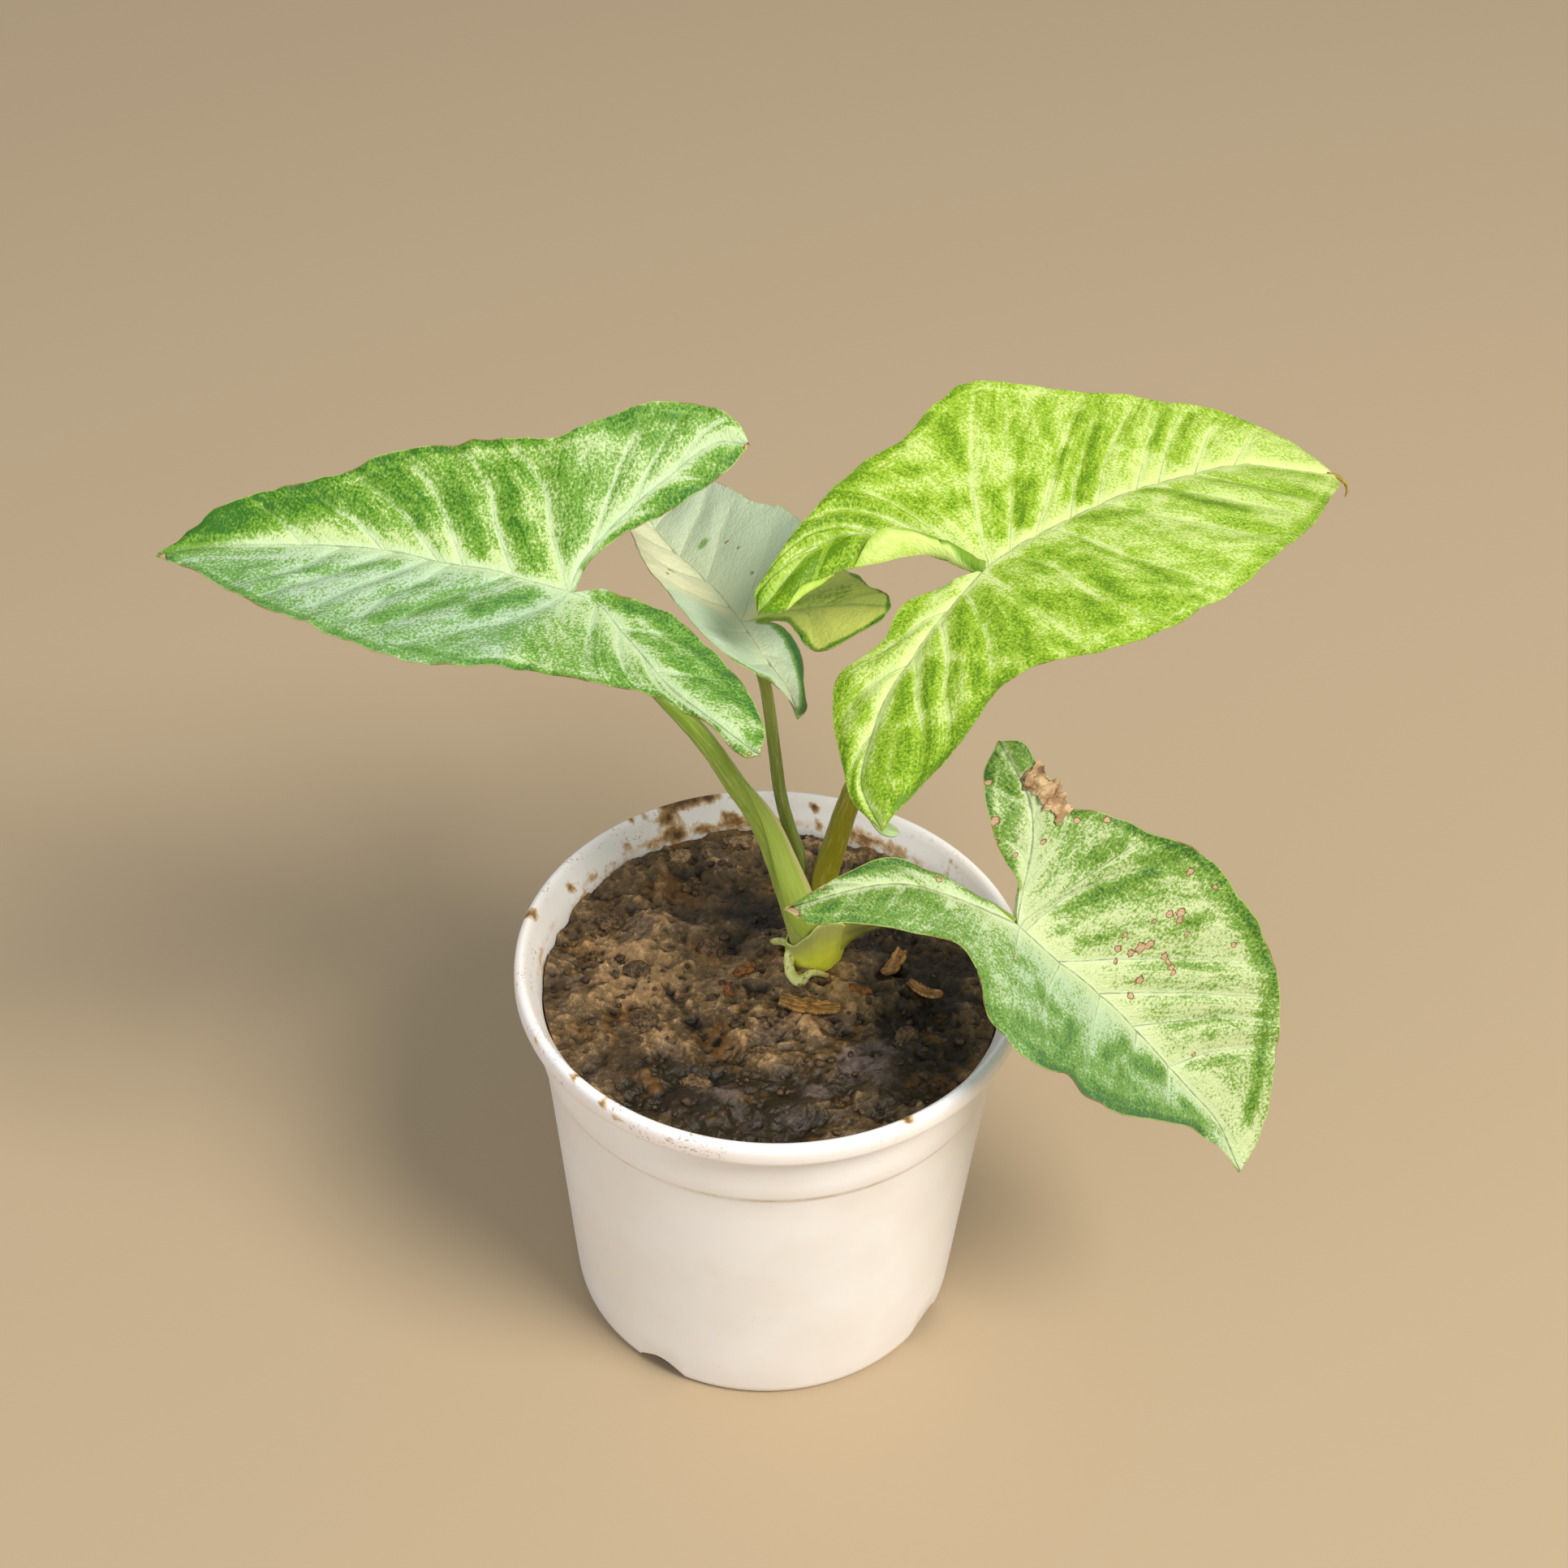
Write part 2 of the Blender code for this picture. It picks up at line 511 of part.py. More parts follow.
def build_sheath(materials):
    """The clasping membrane of the left stalk, its free edge standing off to the right."""
    stalk = STALKS["petiole_left"]
    line = smooth_line([(*place, radius) for place, radius
                        in zip(stalk["route"][1:6], stalk["radii"][1:6])], SHEATH_STATIONS)
    rows = []
    for k, (x, y, z, radius) in enumerate(line):
        fade = 1 - (k / (SHEATH_STATIONS - 1)) ** 2.5
        turns = np.radians(np.linspace(SHEATH_FROM, SHEATH_FROM + (SHEATH_TO - SHEATH_FROM)
                                       * (0.35 + 0.65 * fade), SHEATH_STEPS + 1))
        stand_off = radius + GAP + SHEATH_THICKNESS / 2 + 0.15
        reach = stand_off + SHEATH_SPREAD * fade * np.linspace(0, 1, SHEATH_STEPS + 1) ** 1.5
        rows.append([(x + r * math.cos(a), y + r * math.sin(a), z) for a, r in zip(turns, reach)])
    loft("sheath_left", [rows], SHEATH_THICKNESS, materials["stalk_green"])


def build_sheath_tip(materials):
    rows = []
    across = np.array(TONGUE_ACROSS)
    for place, width in zip(smooth_line(TONGUE_SPINE, len(TONGUE_WIDTHS)), TONGUE_WIDTHS):
        rows.append([place + across * width * share + np.array([0, 0.5 * abs(share), 0])
                     for share in (-0.5, -0.2, 0.2, 0.5)])
    loft("sheath_tip_right", [rows], SHEATH_THICKNESS, materials["stalk_green"])


def on_soil(places, lift):
    return [(x, y, soil_height(x, y) + lift) for x, y in places]


def build_roots(materials):
    root = AERIAL_ROOT
    lift = root["radius"] + GAP + 0.15
    start = (*root["start"], soil_height(*root["start"]) + lift + 2.2)
    route = [start] + on_soil(root["ground"], lift)
    tapered = [root["radius"]] * (len(route) - 1) + [root["radius"] * 0.7]
    tube("aerial_root", route, tapered, materials["root_pale"], points=14, resolution=2)
    stub = ROOT_STUB
    route = on_soil(stub["ground"], stub["radius"] + GAP + 0.3)
    tube("root_stub", route, [stub["radius"], stub["radius"] * 0.8], materials["root_pale"],
         points=4, resolution=2)


# Loose pieces ------------------------------------------------------------------------------

def lump(name, place, size, turn, material):
    """A rough clod or crumb: a ball pushed in and out, flattened, and laid on the soil."""
    body = bmesh.new()
    bmesh.ops.create_icosphere(body, subdivisions=LUMP_SUBDIVISIONS, radius=1)
    for vertex in body.verts:
        x, y, z = vertex.co
        rough = 1 + 0.13 * math.sin(4.1 * x + turn) + 0.10 * math.sin(5.3 * y - turn + 2 * z)
        vertex.co = Vector((x * size[0], y * size[1], z * size[2])) * rough
    spin = Matrix.Rotation(math.radians(turn), 4, "Z")
    bmesh.ops.transform(body, matrix=spin, verts=body.verts)
    lowest = max(soil_height(place[0] + v.co.x, place[1] + v.co.y) - v.co.z for v in body.verts)
    bmesh.ops.translate(body, vec=(*place, lowest + GAP + 0.1), verts=body.verts)
    mesh = bpy.data.meshes.new(name)
    body.to_mesh(mesh)
    body.free()
    mesh.shade_smooth()
    add_piece(name, mesh, material)


def flake(name, place, length, width, curl, turn, material):
    """A thin curved scrap of bark or dead leaf lying on the soil."""
    swing = math.radians(turn)
    rows = []
    for u in np.linspace(-0.5, 0.5, 8):
        half = width / 2 * (1 - 1.6 * abs(u) ** 2.2)
        row = []
        for v in (-1, -0.35, 0.35, 1):
            x = place[0] + u * length * math.cos(swing) - v * half * math.sin(swing)
            y = place[1] + u * length * math.sin(swing) + v * half * math.cos(swing)
            rise = curl * (4 * u * u + 0.3 * v * v)
            row.append((x, y, soil_height(x, y) + FLAKE_LIFT + rise))
        rows.append(row)
    loft(name, [rows], FLAKE_THICKNESS, material)


def build_loose_pieces():
    clod, chip, crumb, bark = (make_material(key) for key in
                               ("clod_brown", "chip_orange", "crumb_pale", "bark_brown"))
    for kind, pieces, material in (("soil_clod", CLODS, clod), ("wood_chip", CHIPS, chip),
                                   ("dry_crumb", CRUMBS, crumb)):
        for k, (place, size, turn) in enumerate(pieces):
            lump(f"{kind}_{k + 1}", place, size, turn, material)
    flake("bark_flake", material=bark, **BARK_FLAKE)
    for k, scrap in enumerate(CURLED_SCRAPS):
        flake(f"leaf_scrap_{k + 1}", material=bark, **scrap)


# Assembly ----------------------------------------------------------------------------------

def settle_origin():
    """Move everything so that the origin is the middle of the bounding box's underside."""
    graph = bpy.context.evaluated_depsgraph_get()
    corners = []
    for piece in parts.objects:
        if piece.type == "MESH":
            shown = piece.evaluated_get(graph)
            corners += [shown.matrix_world @ v.co for v in shown.data.vertices]
    low = Vector([min(c[i] for c in corners) for i in range(3)])
    high = Vector([max(c[i] for c in corners) for i in range(3)])
    stand.location = (-(low.x + high.x) / 2, -(low.y + high.y) / 2, -low.z)


for thing in list(bpy.data.objects):
    bpy.data.objects.remove(thing, do_unlink=True)
parts = bpy.data.collections.new("potted_syngonium")
cutters = bpy.data.collections.new("cutters")
for group in (parts, cutters):
    bpy.context.scene.collection.children.link(group)
stand = bpy.data.objects.new("stand_point", None)
parts.objects.link(stand)

build_pot()
build_soil()
greens = {key: make_material(key) for key in ("crown_green", "stalk_green", "stalk_olive",
                                              "leaf_white_green", "leaf_lime", "leaf_cream",
                                              "root_pale")}
build_crown(greens)
build_stalks(greens)
build_blades(greens)
build_sheath(greens)
build_sheath_tip(greens)
build_roots(greens)
build_loose_pieces()
bpy.context.view_layer.update()
settle_origin()
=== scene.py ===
# %% [markdown]
# # A potted syngonium
# This lesson builds a young arrowhead plant in a cream nursery pot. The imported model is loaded
# first and stays as it is: it says where every pot, stalk and leaf belongs. Each step below
# makes the finer piece that is seen in place of a plain solid, and lets it ride on the model.

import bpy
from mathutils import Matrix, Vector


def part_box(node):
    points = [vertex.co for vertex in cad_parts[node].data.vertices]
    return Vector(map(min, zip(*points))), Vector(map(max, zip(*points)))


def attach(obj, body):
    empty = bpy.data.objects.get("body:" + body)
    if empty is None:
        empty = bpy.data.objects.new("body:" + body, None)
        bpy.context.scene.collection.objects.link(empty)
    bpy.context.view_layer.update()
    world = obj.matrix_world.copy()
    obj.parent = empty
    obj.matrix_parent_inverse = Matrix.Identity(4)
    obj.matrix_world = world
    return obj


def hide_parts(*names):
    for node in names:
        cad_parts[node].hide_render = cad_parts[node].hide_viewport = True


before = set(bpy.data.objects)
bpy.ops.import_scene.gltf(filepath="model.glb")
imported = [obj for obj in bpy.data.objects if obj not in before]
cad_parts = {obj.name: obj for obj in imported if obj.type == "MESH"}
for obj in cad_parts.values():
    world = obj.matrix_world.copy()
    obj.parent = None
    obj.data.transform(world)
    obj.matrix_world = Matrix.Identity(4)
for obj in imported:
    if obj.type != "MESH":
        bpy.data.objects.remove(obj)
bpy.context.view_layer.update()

# %% [markdown]
# Every length below is in millimetres, measured from the middle of the pot's foot, because
# that is how a grower would take a pot's measures. One helper carries such points to metres in
# the frame. The pot's own box in the frame gives the middle of its foot.

# %% Units and the pot's axis
import math

import bpy
import numpy as np
from mathutils import Quaternion, Vector, noise

MM = 0.001
pot_low, pot_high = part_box("pot")
pot_foot = np.array([(pot_low.x + pot_high.x) / 2, (pot_low.y + pot_high.y) / 2, pot_low.z])
RIM_RADIUS = (pot_high.x - pot_low.x) / 2 / MM
RIM_HEIGHT = (pot_high.z - pot_low.z) / MM


def in_frame(points):
    """Points in millimetres from the pot's foot, as metres in the frame."""
    return np.asarray(points, float) * MM + pot_foot


print("rim radius", round(RIM_RADIUS, 1), "mm, height", round(RIM_HEIGHT, 1), "mm")
print("middle of the pot's foot, in the frame:", pot_foot / MM, "mm")

# %% [markdown]
# Operators act on whatever is selected, so each step starts by clearing the selection. These
# helpers pick one object, join several, apply modifiers, thicken a sheet, and hand a finished
# piece to the frame: it rides on the one body, takes its materials and stands for its solids.

# %% Picking, joining and handing over


def clear_selection():
    if bpy.context.mode != "OBJECT":
        bpy.ops.object.mode_set(mode="OBJECT")
    bpy.ops.object.select_all(action="DESELECT")


def pick(*pieces):
    clear_selection()
    for piece in pieces:
        piece.select_set(True)
    bpy.context.view_layer.objects.active = pieces[0]


def weld(piece, distance=0.01):
    """Merge the corners of a mesh that lie within a distance in millimetres."""
    pick(piece)
    bpy.ops.object.mode_set(mode="EDIT")
    bpy.ops.mesh.select_all(action="SELECT")
    bpy.ops.mesh.remove_doubles(threshold=distance * MM)
    bpy.ops.object.mode_set(mode="OBJECT")


def join(name, pieces, distance=0.01):
    pick(*pieces)
    if len(pieces) > 1:
        bpy.ops.object.join()
    joined = bpy.context.object
    joined.name = joined.data.name = name
    weld(joined, distance)
    return joined


def apply_modifiers(piece):
    pick(piece)
    for modifier in list(piece.modifiers):
        bpy.ops.object.modifier_apply(modifier=modifier.name)


def thicken(piece, thickness, offset=0):
    """Give a thin sheet its thickness in millimetres; at offset 0 it grows to both sides."""
    skin = piece.modifiers.new("skin", "SOLIDIFY")
    skin.thickness = thickness * MM
    skin.offset = offset
    apply_modifiers(piece)


def hand_over(piece, slot, materials, stands_for=()):
    """Finish a piece: its place goes into its mesh, and the frame takes it."""
    pick(piece)
    bpy.ops.object.transform_apply(location=True, rotation=True, scale=True)
    for material in materials:
        piece.data.materials.append(material)
    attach(piece, "root")
    if stands_for:
        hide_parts(*stands_for)
    triangles = sum(len(face.vertices) - 2 for face in piece.data.polygons)
    print(f"{piece.name}: {triangles} triangles")


# %% [markdown]
# Leaves, stalks and soil are all rows of points that bend smoothly. A grid primitive has just
# such rows, so one helper adds a grid with the right number of rows and moves its corners to
# the points. Values that a material needs, such as the distance to a margin, ride along as
# named attributes.

# %% A grid moved onto rows of points


def grid_sheet(name, points, **layers):
    rows, columns = points.shape[:2]
    clear_selection()
    bpy.ops.mesh.primitive_grid_add(x_subdivisions=columns - 1, y_subdivisions=rows - 1, size=1)
    sheet = bpy.context.object
    sheet.name = sheet.data.name = name
    sheet.data.vertices.foreach_set("co", in_frame(points).ravel())
    for layer, values in layers.items():
        wide = values.ndim == 3
        made = sheet.data.attributes.new(layer, "FLOAT_VECTOR" if wide else "FLOAT", "POINT")
        made.data.foreach_set("vector" if wide else "value",
                              np.ascontiguousarray(values, np.float32).ravel())
    sheet.data.update()
    return sheet


def smooth_line(points, count):
    """Points evenly spaced along a Catmull-Rom curve through the given ones."""
    given = np.asarray(points, float)
    padded = np.vstack([2 * given[0] - given[1], given, 2 * given[-1] - given[-2]])
    share = np.linspace(0, 1, 24, endpoint=False)[:, None]
    runs = []
    for i in range(len(given) - 1):
        before, start, end, after = padded[i:i + 4]
        runs.append(0.5 * (2 * start + (end - before) * share
                           + (2 * before - 5 * start + 4 * end - after) * share ** 2
                           + (3 * start - before - 3 * end + after) * share ** 3))
    curve = np.vstack(runs + [given[-1:]])
    travelled = np.concatenate([[0], np.cumsum(np.linalg.norm(np.diff(curve, axis=0), axis=1))])
    wanted = np.linspace(0, travelled[-1], count)
    return np.stack([np.interp(wanted, travelled, axis) for axis in curve.T], axis=1)


def noise_at(points, size, octaves=3, shift=0.0):
    """Fractal noise, about -1 to 1, whose lumps are size millimetres across."""
    flat = np.asarray(points, float).reshape(-1, 3) / size + shift
    values = [noise.fractal(Vector(p), 0.8, 2.1, octaves) for p in flat]
    return np.array(values).reshape(np.shape(points)[:-1])


# %% [markdown]
# ## Camera, light and floor
# The camera looks down on the plant from in front, about 41 degrees below the horizon, from
# three quarters of a metre away. One large soft lamp from the right and front gives the pot its
# round shading, and a pale sky fills the rest. The floor is plain.

# %% Camera
CAMERA_PLACE = (1.56, -493.44, 588.38)
LOOK_DOWN = 40.79
ROLL = 1.85
LENS = 65.2
SENSOR_WIDTH = 36

bpy.ops.object.camera_add(location=in_frame(CAMERA_PLACE))
camera = bpy.context.object
camera.rotation_mode = "QUATERNION"
tilt = Vector((1, 0, 0)), math.radians(90 - LOOK_DOWN)
camera.rotation_quaternion = Quaternion(*tilt) @ Quaternion((0, 0, 1), math.radians(ROLL))
camera.data.lens = LENS
camera.data.sensor_width = SENSOR_WIDTH
bpy.context.scene.camera = camera
bpy.context.scene.view_settings.view_transform = "Standard"
print("camera to the pot's foot:", round(math.hypot(*CAMERA_PLACE)), "mm")

# %% [markdown]
# A lamp's size sets how soft its shadows are: the key lamp is most of a metre wide, so the
# shadow on the floor has no hard edge. A weak, cool lamp at the front left keeps the shaded side
# readable.

# %% Lamps, sky and floor
LAMP_TARGET = (0, 0, 120)


def colour(red, green, blue):
    """A colour as seen on a screen, made linear for a shader."""
    parts = [v / 12.92 if v <= 0.04045 else ((v + 0.055) / 1.055) ** 2.4
             for v in (red, green, blue)]
    return (*parts, 1)


def add_lamp(name, towards, distance, size, watts, tint):
    clear_selection()
    way = Vector(towards).normalized()
    target = Vector(in_frame(LAMP_TARGET))
    bpy.ops.object.light_add(type="AREA", location=target + way * distance)
    lamp = bpy.context.object
    lamp.name = name
    lamp.rotation_euler = (-way).to_track_quat("-Z", "Y").to_euler()
    lamp.data.shape = "DISK"
    lamp.data.size = size
    lamp.data.energy = watts
    lamp.data.color = tint


add_lamp("key_lamp", (0.68, -0.54, 1.15), 2.0, 0.85, 48, (1.0, 0.955, 0.90))
add_lamp("fill_lamp", (-0.9, -0.8, 0.6), 1.3, 1.0, 4.2, (0.86, 0.92, 1.0))
world = bpy.data.worlds.new("studio_sky")
bpy.context.scene.world = world
world.use_nodes = True
world.node_tree.nodes["Background"].inputs["Color"].default_value = (0.90, 0.94, 1.0, 1)
world.node_tree.nodes["Background"].inputs["Strength"].default_value = 0.50

clear_selection()
bpy.ops.mesh.primitive_plane_add(size=6, location=in_frame((0, 600, 0)))
floor = bpy.context.object
floor.name = "floor"
floor_paint = bpy.data.materials.new("floor_paint")
floor_paint.use_nodes = True
floor_shader = floor_paint.node_tree.nodes["Principled BSDF"]
floor_shader.inputs["Base Color"].default_value = colour(0.68, 0.60, 0.48)
floor_shader.inputs["Roughness"].default_value = 0.9
floor.data.materials.append(floor_paint)

# %% [markdown]
# ## Node helpers
# Materials are built from many small sums, so short helpers add a node, wire its inputs and
# return its output. Each effect that several finishes share becomes a node group.

# %% Short helpers for shader nodes


def add_node(tree, kind, inputs=(), **settings):
    """Add a node, set its options, and wire or fill its inputs."""
    made = tree.nodes.new(kind)
    for option, value in settings.items():
        setattr(made, option, value)
    for key, value in dict(inputs).items():
        if isinstance(value, bpy.types.NodeSocket):
            tree.links.new(value, made.inputs[key])
        else:
            made.inputs[key].default_value = value
    return made


def sums(tree, operation, first, second=0.0, third=None, clamp=False):
    inputs = {0: first, 1: second}
    if third is not None:
        inputs[2] = third
    return add_node(tree, "ShaderNodeMath", inputs, operation=operation,
                    use_clamp=clamp).outputs[0]


def times(tree, first, second, clamp=False):
    return sums(tree, "MULTIPLY", first, second, clamp=clamp)


def plus(tree, first, second):
    return sums(tree, "ADD", first, second)


def add_up(tree, value, weight, total, middle=0.0):
    """Add to a total how far a value lies from its middle, with a weight."""
    return sums(tree, "MULTIPLY_ADD", sums(tree, "SUBTRACT", value, middle), weight, total)


def fade(tree, value, start, end, low=0.0, high=1.0):
    """A smooth step: low where value is at start, high where it is at end."""
    inputs = {"Value": value, "From Min": start, "From Max": end, "To Min": low, "To Max": high}
    return add_node(tree, "ShaderNodeMapRange", inputs,
                    interpolation_type="SMOOTHSTEP").outputs["Result"]


def mix(tree, factor, first, second, blend="MIX"):
    """Mix two colours."""
    made = add_node(tree, "ShaderNodeMix", {0: factor, 6: first, 7: second},
                    data_type="RGBA", blend_type=blend)
    return made.outputs[2]


def coats(tree, under, *layers):
    """Lay colours over the first one in turn, each (mask, colour) where its mask is."""
    for mask, tone in layers:
        under = mix(tree, mask, under, colour(*tone))
    return under


def attribute(tree, name, output="Fac"):
    """A named value that rides on the mesh; output "Vector" gives all three of its numbers."""
    return add_node(tree, "ShaderNodeAttribute", attribute_name=name).outputs[output]


def stretched(tree, vector, scales):
    return add_node(tree, "ShaderNodeVectorMath", {0: vector, 1: scales},
                    operation="MULTIPLY").outputs[0]


def grain(tree, vector, scale, detail=2.0, roughness=0.5, flat=False, distortion=0.0):
    inputs = {"Vector": vector, "Scale": scale, "Detail": detail, "Roughness": roughness,
              "Distortion": distortion}
    kind = "2D" if flat else "3D"
    return add_node(tree, "ShaderNodeTexNoise", inputs, noise_dimensions=kind).outputs["Fac"]


def new_group(name, inputs, outputs):
    """A node group with named inputs, (kind, default) each, and named outputs."""
    group = bpy.data.node_groups.new(name, "ShaderNodeTree")
    for label, (kind, default) in inputs.items():
        made = group.interface.new_socket(label, in_out="INPUT", socket_type=kind)
        if default is not None:
            made.default_value = default
    for label, kind in outputs.items():
        group.interface.new_socket(label, in_out="OUTPUT", socket_type=kind)
    entry = group.nodes.new("NodeGroupInput").outputs
    leave = group.nodes.new("NodeGroupOutput").inputs
    return group, entry, leave


def new_material(name, **sockets):
    """A Principled material; the given sockets are set on the shader itself."""
    material = bpy.data.materials.new(name)
    material.use_nodes = True
    shader = material.node_tree.nodes["Principled BSDF"]
    for label, value in sockets.items():
        shader.inputs[label.replace("_", " ")].default_value = value
    return material, material.node_tree, shader


def bump(tree, shader, height, strength, distance):
    made = add_node(tree, "ShaderNodeBump", {"Height": height, "Strength": strength,
                                             "Distance": distance * MM})
    tree.links.new(made.outputs[0], shader.inputs["Normal"])


def object_mm(tree):
    """Object coordinates in millimetres."""
    place = add_node(tree, "ShaderNodeTexCoord").outputs["Object"]
    return add_node(tree, "ShaderNodeVectorMath", {0: place, "Scale": 1 / MM},
                    operation="SCALE").outputs[0]


FLOAT, COLOUR, VECTOR = "NodeSocketFloat", "NodeSocketColor", "NodeSocketVector"

# %% [markdown]
# ## The pot
# A thin nursery pot is moulded: its walls taper, a band runs under the rolled rim, and arched
# notches at the foot let water out. It is a turned form, so it starts as a circle that is
# extruded and scaled ring by ring up the outside, over the rim and down the inside, the way one
# would draw a pot by hand. A bevel rounds every moulded edge.

# %% The pot's profile
POT_SEGMENTS = 192
SOIL_LEVEL = 96.8
LIP_FOOT = RIM_HEIGHT - 6.2
pot_profile = [
    (12.0, 2.0), (30.0, 2.0), (44.6, 2.0), (45.4, 0.6), (45.8, 0.0), (47.2, 0.0), (48.3, 0.6),
    (48.9, 1.6), (49.2, 3.0), (50.0, 12.0), (50.9, 23.0), (52.0, 36.0), (53.1, 49.0),
    (54.2, 62.0), (55.2, 73.0), (55.9, 81.4), (56.1, 82.3), (56.6, 83.1), (57.0, 84.4),
    (57.2, 88.0), (57.5, 93.0), (57.8, 98.0), (58.0, LIP_FOOT - 1.2), (58.5, LIP_FOOT - 0.4),
    (61.2, LIP_FOOT - 0.2), (62.1, LIP_FOOT + 0.4), (RIM_RADIUS, LIP_FOOT + 1.4),
    (RIM_RADIUS - 0.05, RIM_HEIGHT - 2.4), (62.2, RIM_HEIGHT - 1.1), (61.6, RIM_HEIGHT - 0.3),
    (60.9, RIM_HEIGHT), (60.3, RIM_HEIGHT - 0.2), (59.7, RIM_HEIGHT - 0.8),
    (58.9, RIM_HEIGHT - 2.4), (57.9, RIM_HEIGHT - 4.6), (56.7, LIP_FOOT - 0.6),
    (56.0, 97.5), (55.8, 95.0), (55.4, 84.6), (54.4, 82.0), (53.5, 70.0), (51.4, 45.0),
    (49.4, 21.0), (47.9, 6.6), (46.6, 4.4), (44.0, 3.6), (12.0, 3.6)]

# %% [markdown]
# The first ring is a small circle in the middle of the underside, filled with a face. One
# extrusion and one scaling about the pot's axis make each next band, so the whole profile is a
# loop of those two steps. The last ring is filled too, which closes the floor.

# %% Extrude and scale the rings
clear_selection()
first_radius, first_height = pot_profile[0]
bpy.ops.mesh.primitive_circle_add(vertices=POT_SEGMENTS, radius=first_radius * MM,
                                  location=in_frame((0, 0, first_height)))
pot = bpy.context.object
pot.name = pot.data.name = "nursery_pot"
bpy.ops.object.mode_set(mode="EDIT")
bpy.ops.mesh.select_all(action="SELECT")
bpy.ops.mesh.edge_face_add()
bpy.ops.mesh.select_all(action="SELECT")
extrude = bpy.ops.mesh.extrude_edges_move
for (radius, height), (wider, higher) in zip(pot_profile, pot_profile[1:]):
    extrude(TRANSFORM_OT_translate={"value": (0, 0, (higher - height) * MM)})
    extrude = bpy.ops.mesh.extrude_region_move
    bpy.ops.transform.resize(value=(wider / radius, wider / radius, 1),
                             center_override=tuple(pot_foot))
bpy.ops.mesh.edge_face_add()
bpy.ops.mesh.select_all(action="SELECT")
bpy.ops.mesh.normals_make_consistent(inside=False)
bpy.ops.object.mode_set(mode="OBJECT")
print("pot rings:", len(pot_profile))

# %% [markdown]
# The notches are cut last, with arched cutters that are a little uneven, as a thin moulding
# is at its thin edges.

# %% Cut the drain notches
NOTCH_TURNS = (-30.5, 59.5, 149.5, -120.5)
NOTCH_RADIUS, NOTCH_DEPTH = 8, 12
NOTCH_FROM_AXIS, NOTCH_HEIGHT = 47, -2.6
UNEVENNESS = 0.14
for turn in NOTCH_TURNS:
    angle = math.radians(turn)
    clear_selection()
    bpy.ops.mesh.primitive_cylinder_add(
        vertices=40, radius=NOTCH_RADIUS * MM, depth=NOTCH_DEPTH * MM,
        rotation=(0, math.pi / 2, angle),
        location=in_frame((NOTCH_FROM_AXIS * math.cos(angle), NOTCH_FROM_AXIS * math.sin(angle),
                           NOTCH_HEIGHT)))
    cutter = bpy.context.object
    for corner in cutter.data.vertices:
        swell = 0.55 * noise.noise(corner.co / (3.5 * MM) + Vector((turn, 0, 0)))
        corner.co.x *= 1 + UNEVENNESS * swell
        corner.co.y *= 1 + UNEVENNESS * swell
    bite = pot.modifiers.new("notch", "BOOLEAN")
    bite.operation = "DIFFERENCE"
    bite.object = cutter
    apply_modifiers(pot)
    bpy.data.objects.remove(cutter)
edges = pot.modifiers.new("moulded_edges", "BEVEL")
edges.width = 0.35 * MM
edges.segments = 2
edges.angle_limit = math.radians(38)
apply_modifiers(pot)
bpy.ops.object.shade_smooth_by_angle(angle=math.radians(40))

# %% [markdown]
# A brown smear runs over the rim at the back left, dried splashes ring the wall over the soil,
# and specks sit on the rim. Each place is an angle round the pot and a height, with a size, so
# it marks both faces of the thin wall. The strongest mark at each point rides on the mesh as one
# value, and the material breaks it up.

# %% Where the dirt lies
# angle in degrees, height, spread round the pot in mm, spread up it in mm, strength
MUD_PLACES = [(117, 107.2, 2.6, 1.6, 1.0), (113.5, 107.4, 2.8, 1.5, 1.1),
              (110.5, 107.5, 2.8, 1.4, 1.1), (107, 107.4, 2.6, 1.2, 1.0),
              (118.5, 104.5, 3.2, 3.0, 0.95),
              (117.5, 100.8, 4.2, 3.2, 0.95), (127, 107.2, 0.9, 0.8, 0.9),
              (124.3, 107.2, 0.8, 0.8, 0.9), (132, 103.4, 1.3, 1.2, 0.9),
              (143.5, 101.0, 1.4, 1.4, 1.0), (102.3, 102.8, 1.5, 1.2, 1.05),
              (100, 100.0, 8, 2.2, 0.9), (108, 99.5, 6, 2.2, 0.8), (122.6, 99.7, 5, 1.9, 0.75),
              (92, 99.6, 6, 1.9, 0.75), (84, 99.2, 5, 1.6, 0.6), (80.4, 104.6, 1.5, 1.3, 1.3),
              (78.2, 100.6, 1.2, 1.0, 0.95), (66, 99.8, 7, 2.4, 0.85), (58, 99.4, 6, 2.2, 0.8),
              (48, 98.6, 6, 1.8, 0.7), (135, 98.8, 7, 1.8, 0.7), (150, 98.6, 8, 1.8, 0.65),
              (40.4, 105.0, 1.2, 1.0, 0.75), (42, 102.8, 1.0, 1.0, 0.7),
              (168, 106.9, 1.8, 1.0, 0.9), (152, 103, 1.6, 1.4, 0.8), (-58, 107.3, 1.3, 0.6, 1.1),
              (176, 99, 8, 2.0, 0.6), (-150, 98.5, 9, 1.6, 0.5), (-127.6, 106.6, 1.2, 0.8, 0.75),
              (-123, 104.6, 1.6, 1.0, 0.7), (-117, 103.6, 2.0, 0.8, 0.75),
              (-137, 107.0, 1.4, 0.7, 0.7), (-151, 106.4, 1.6, 0.8, 0.7),
              (-111, 105.4, 1.0, 0.7, 0.7), (-80, 106.0, 1.2, 0.5, 0.6),
              (-60, 104.0, 1.4, 0.5, 0.6)]
MUD_FROM_HEIGHT, WALL_RADIUS = 93, 58


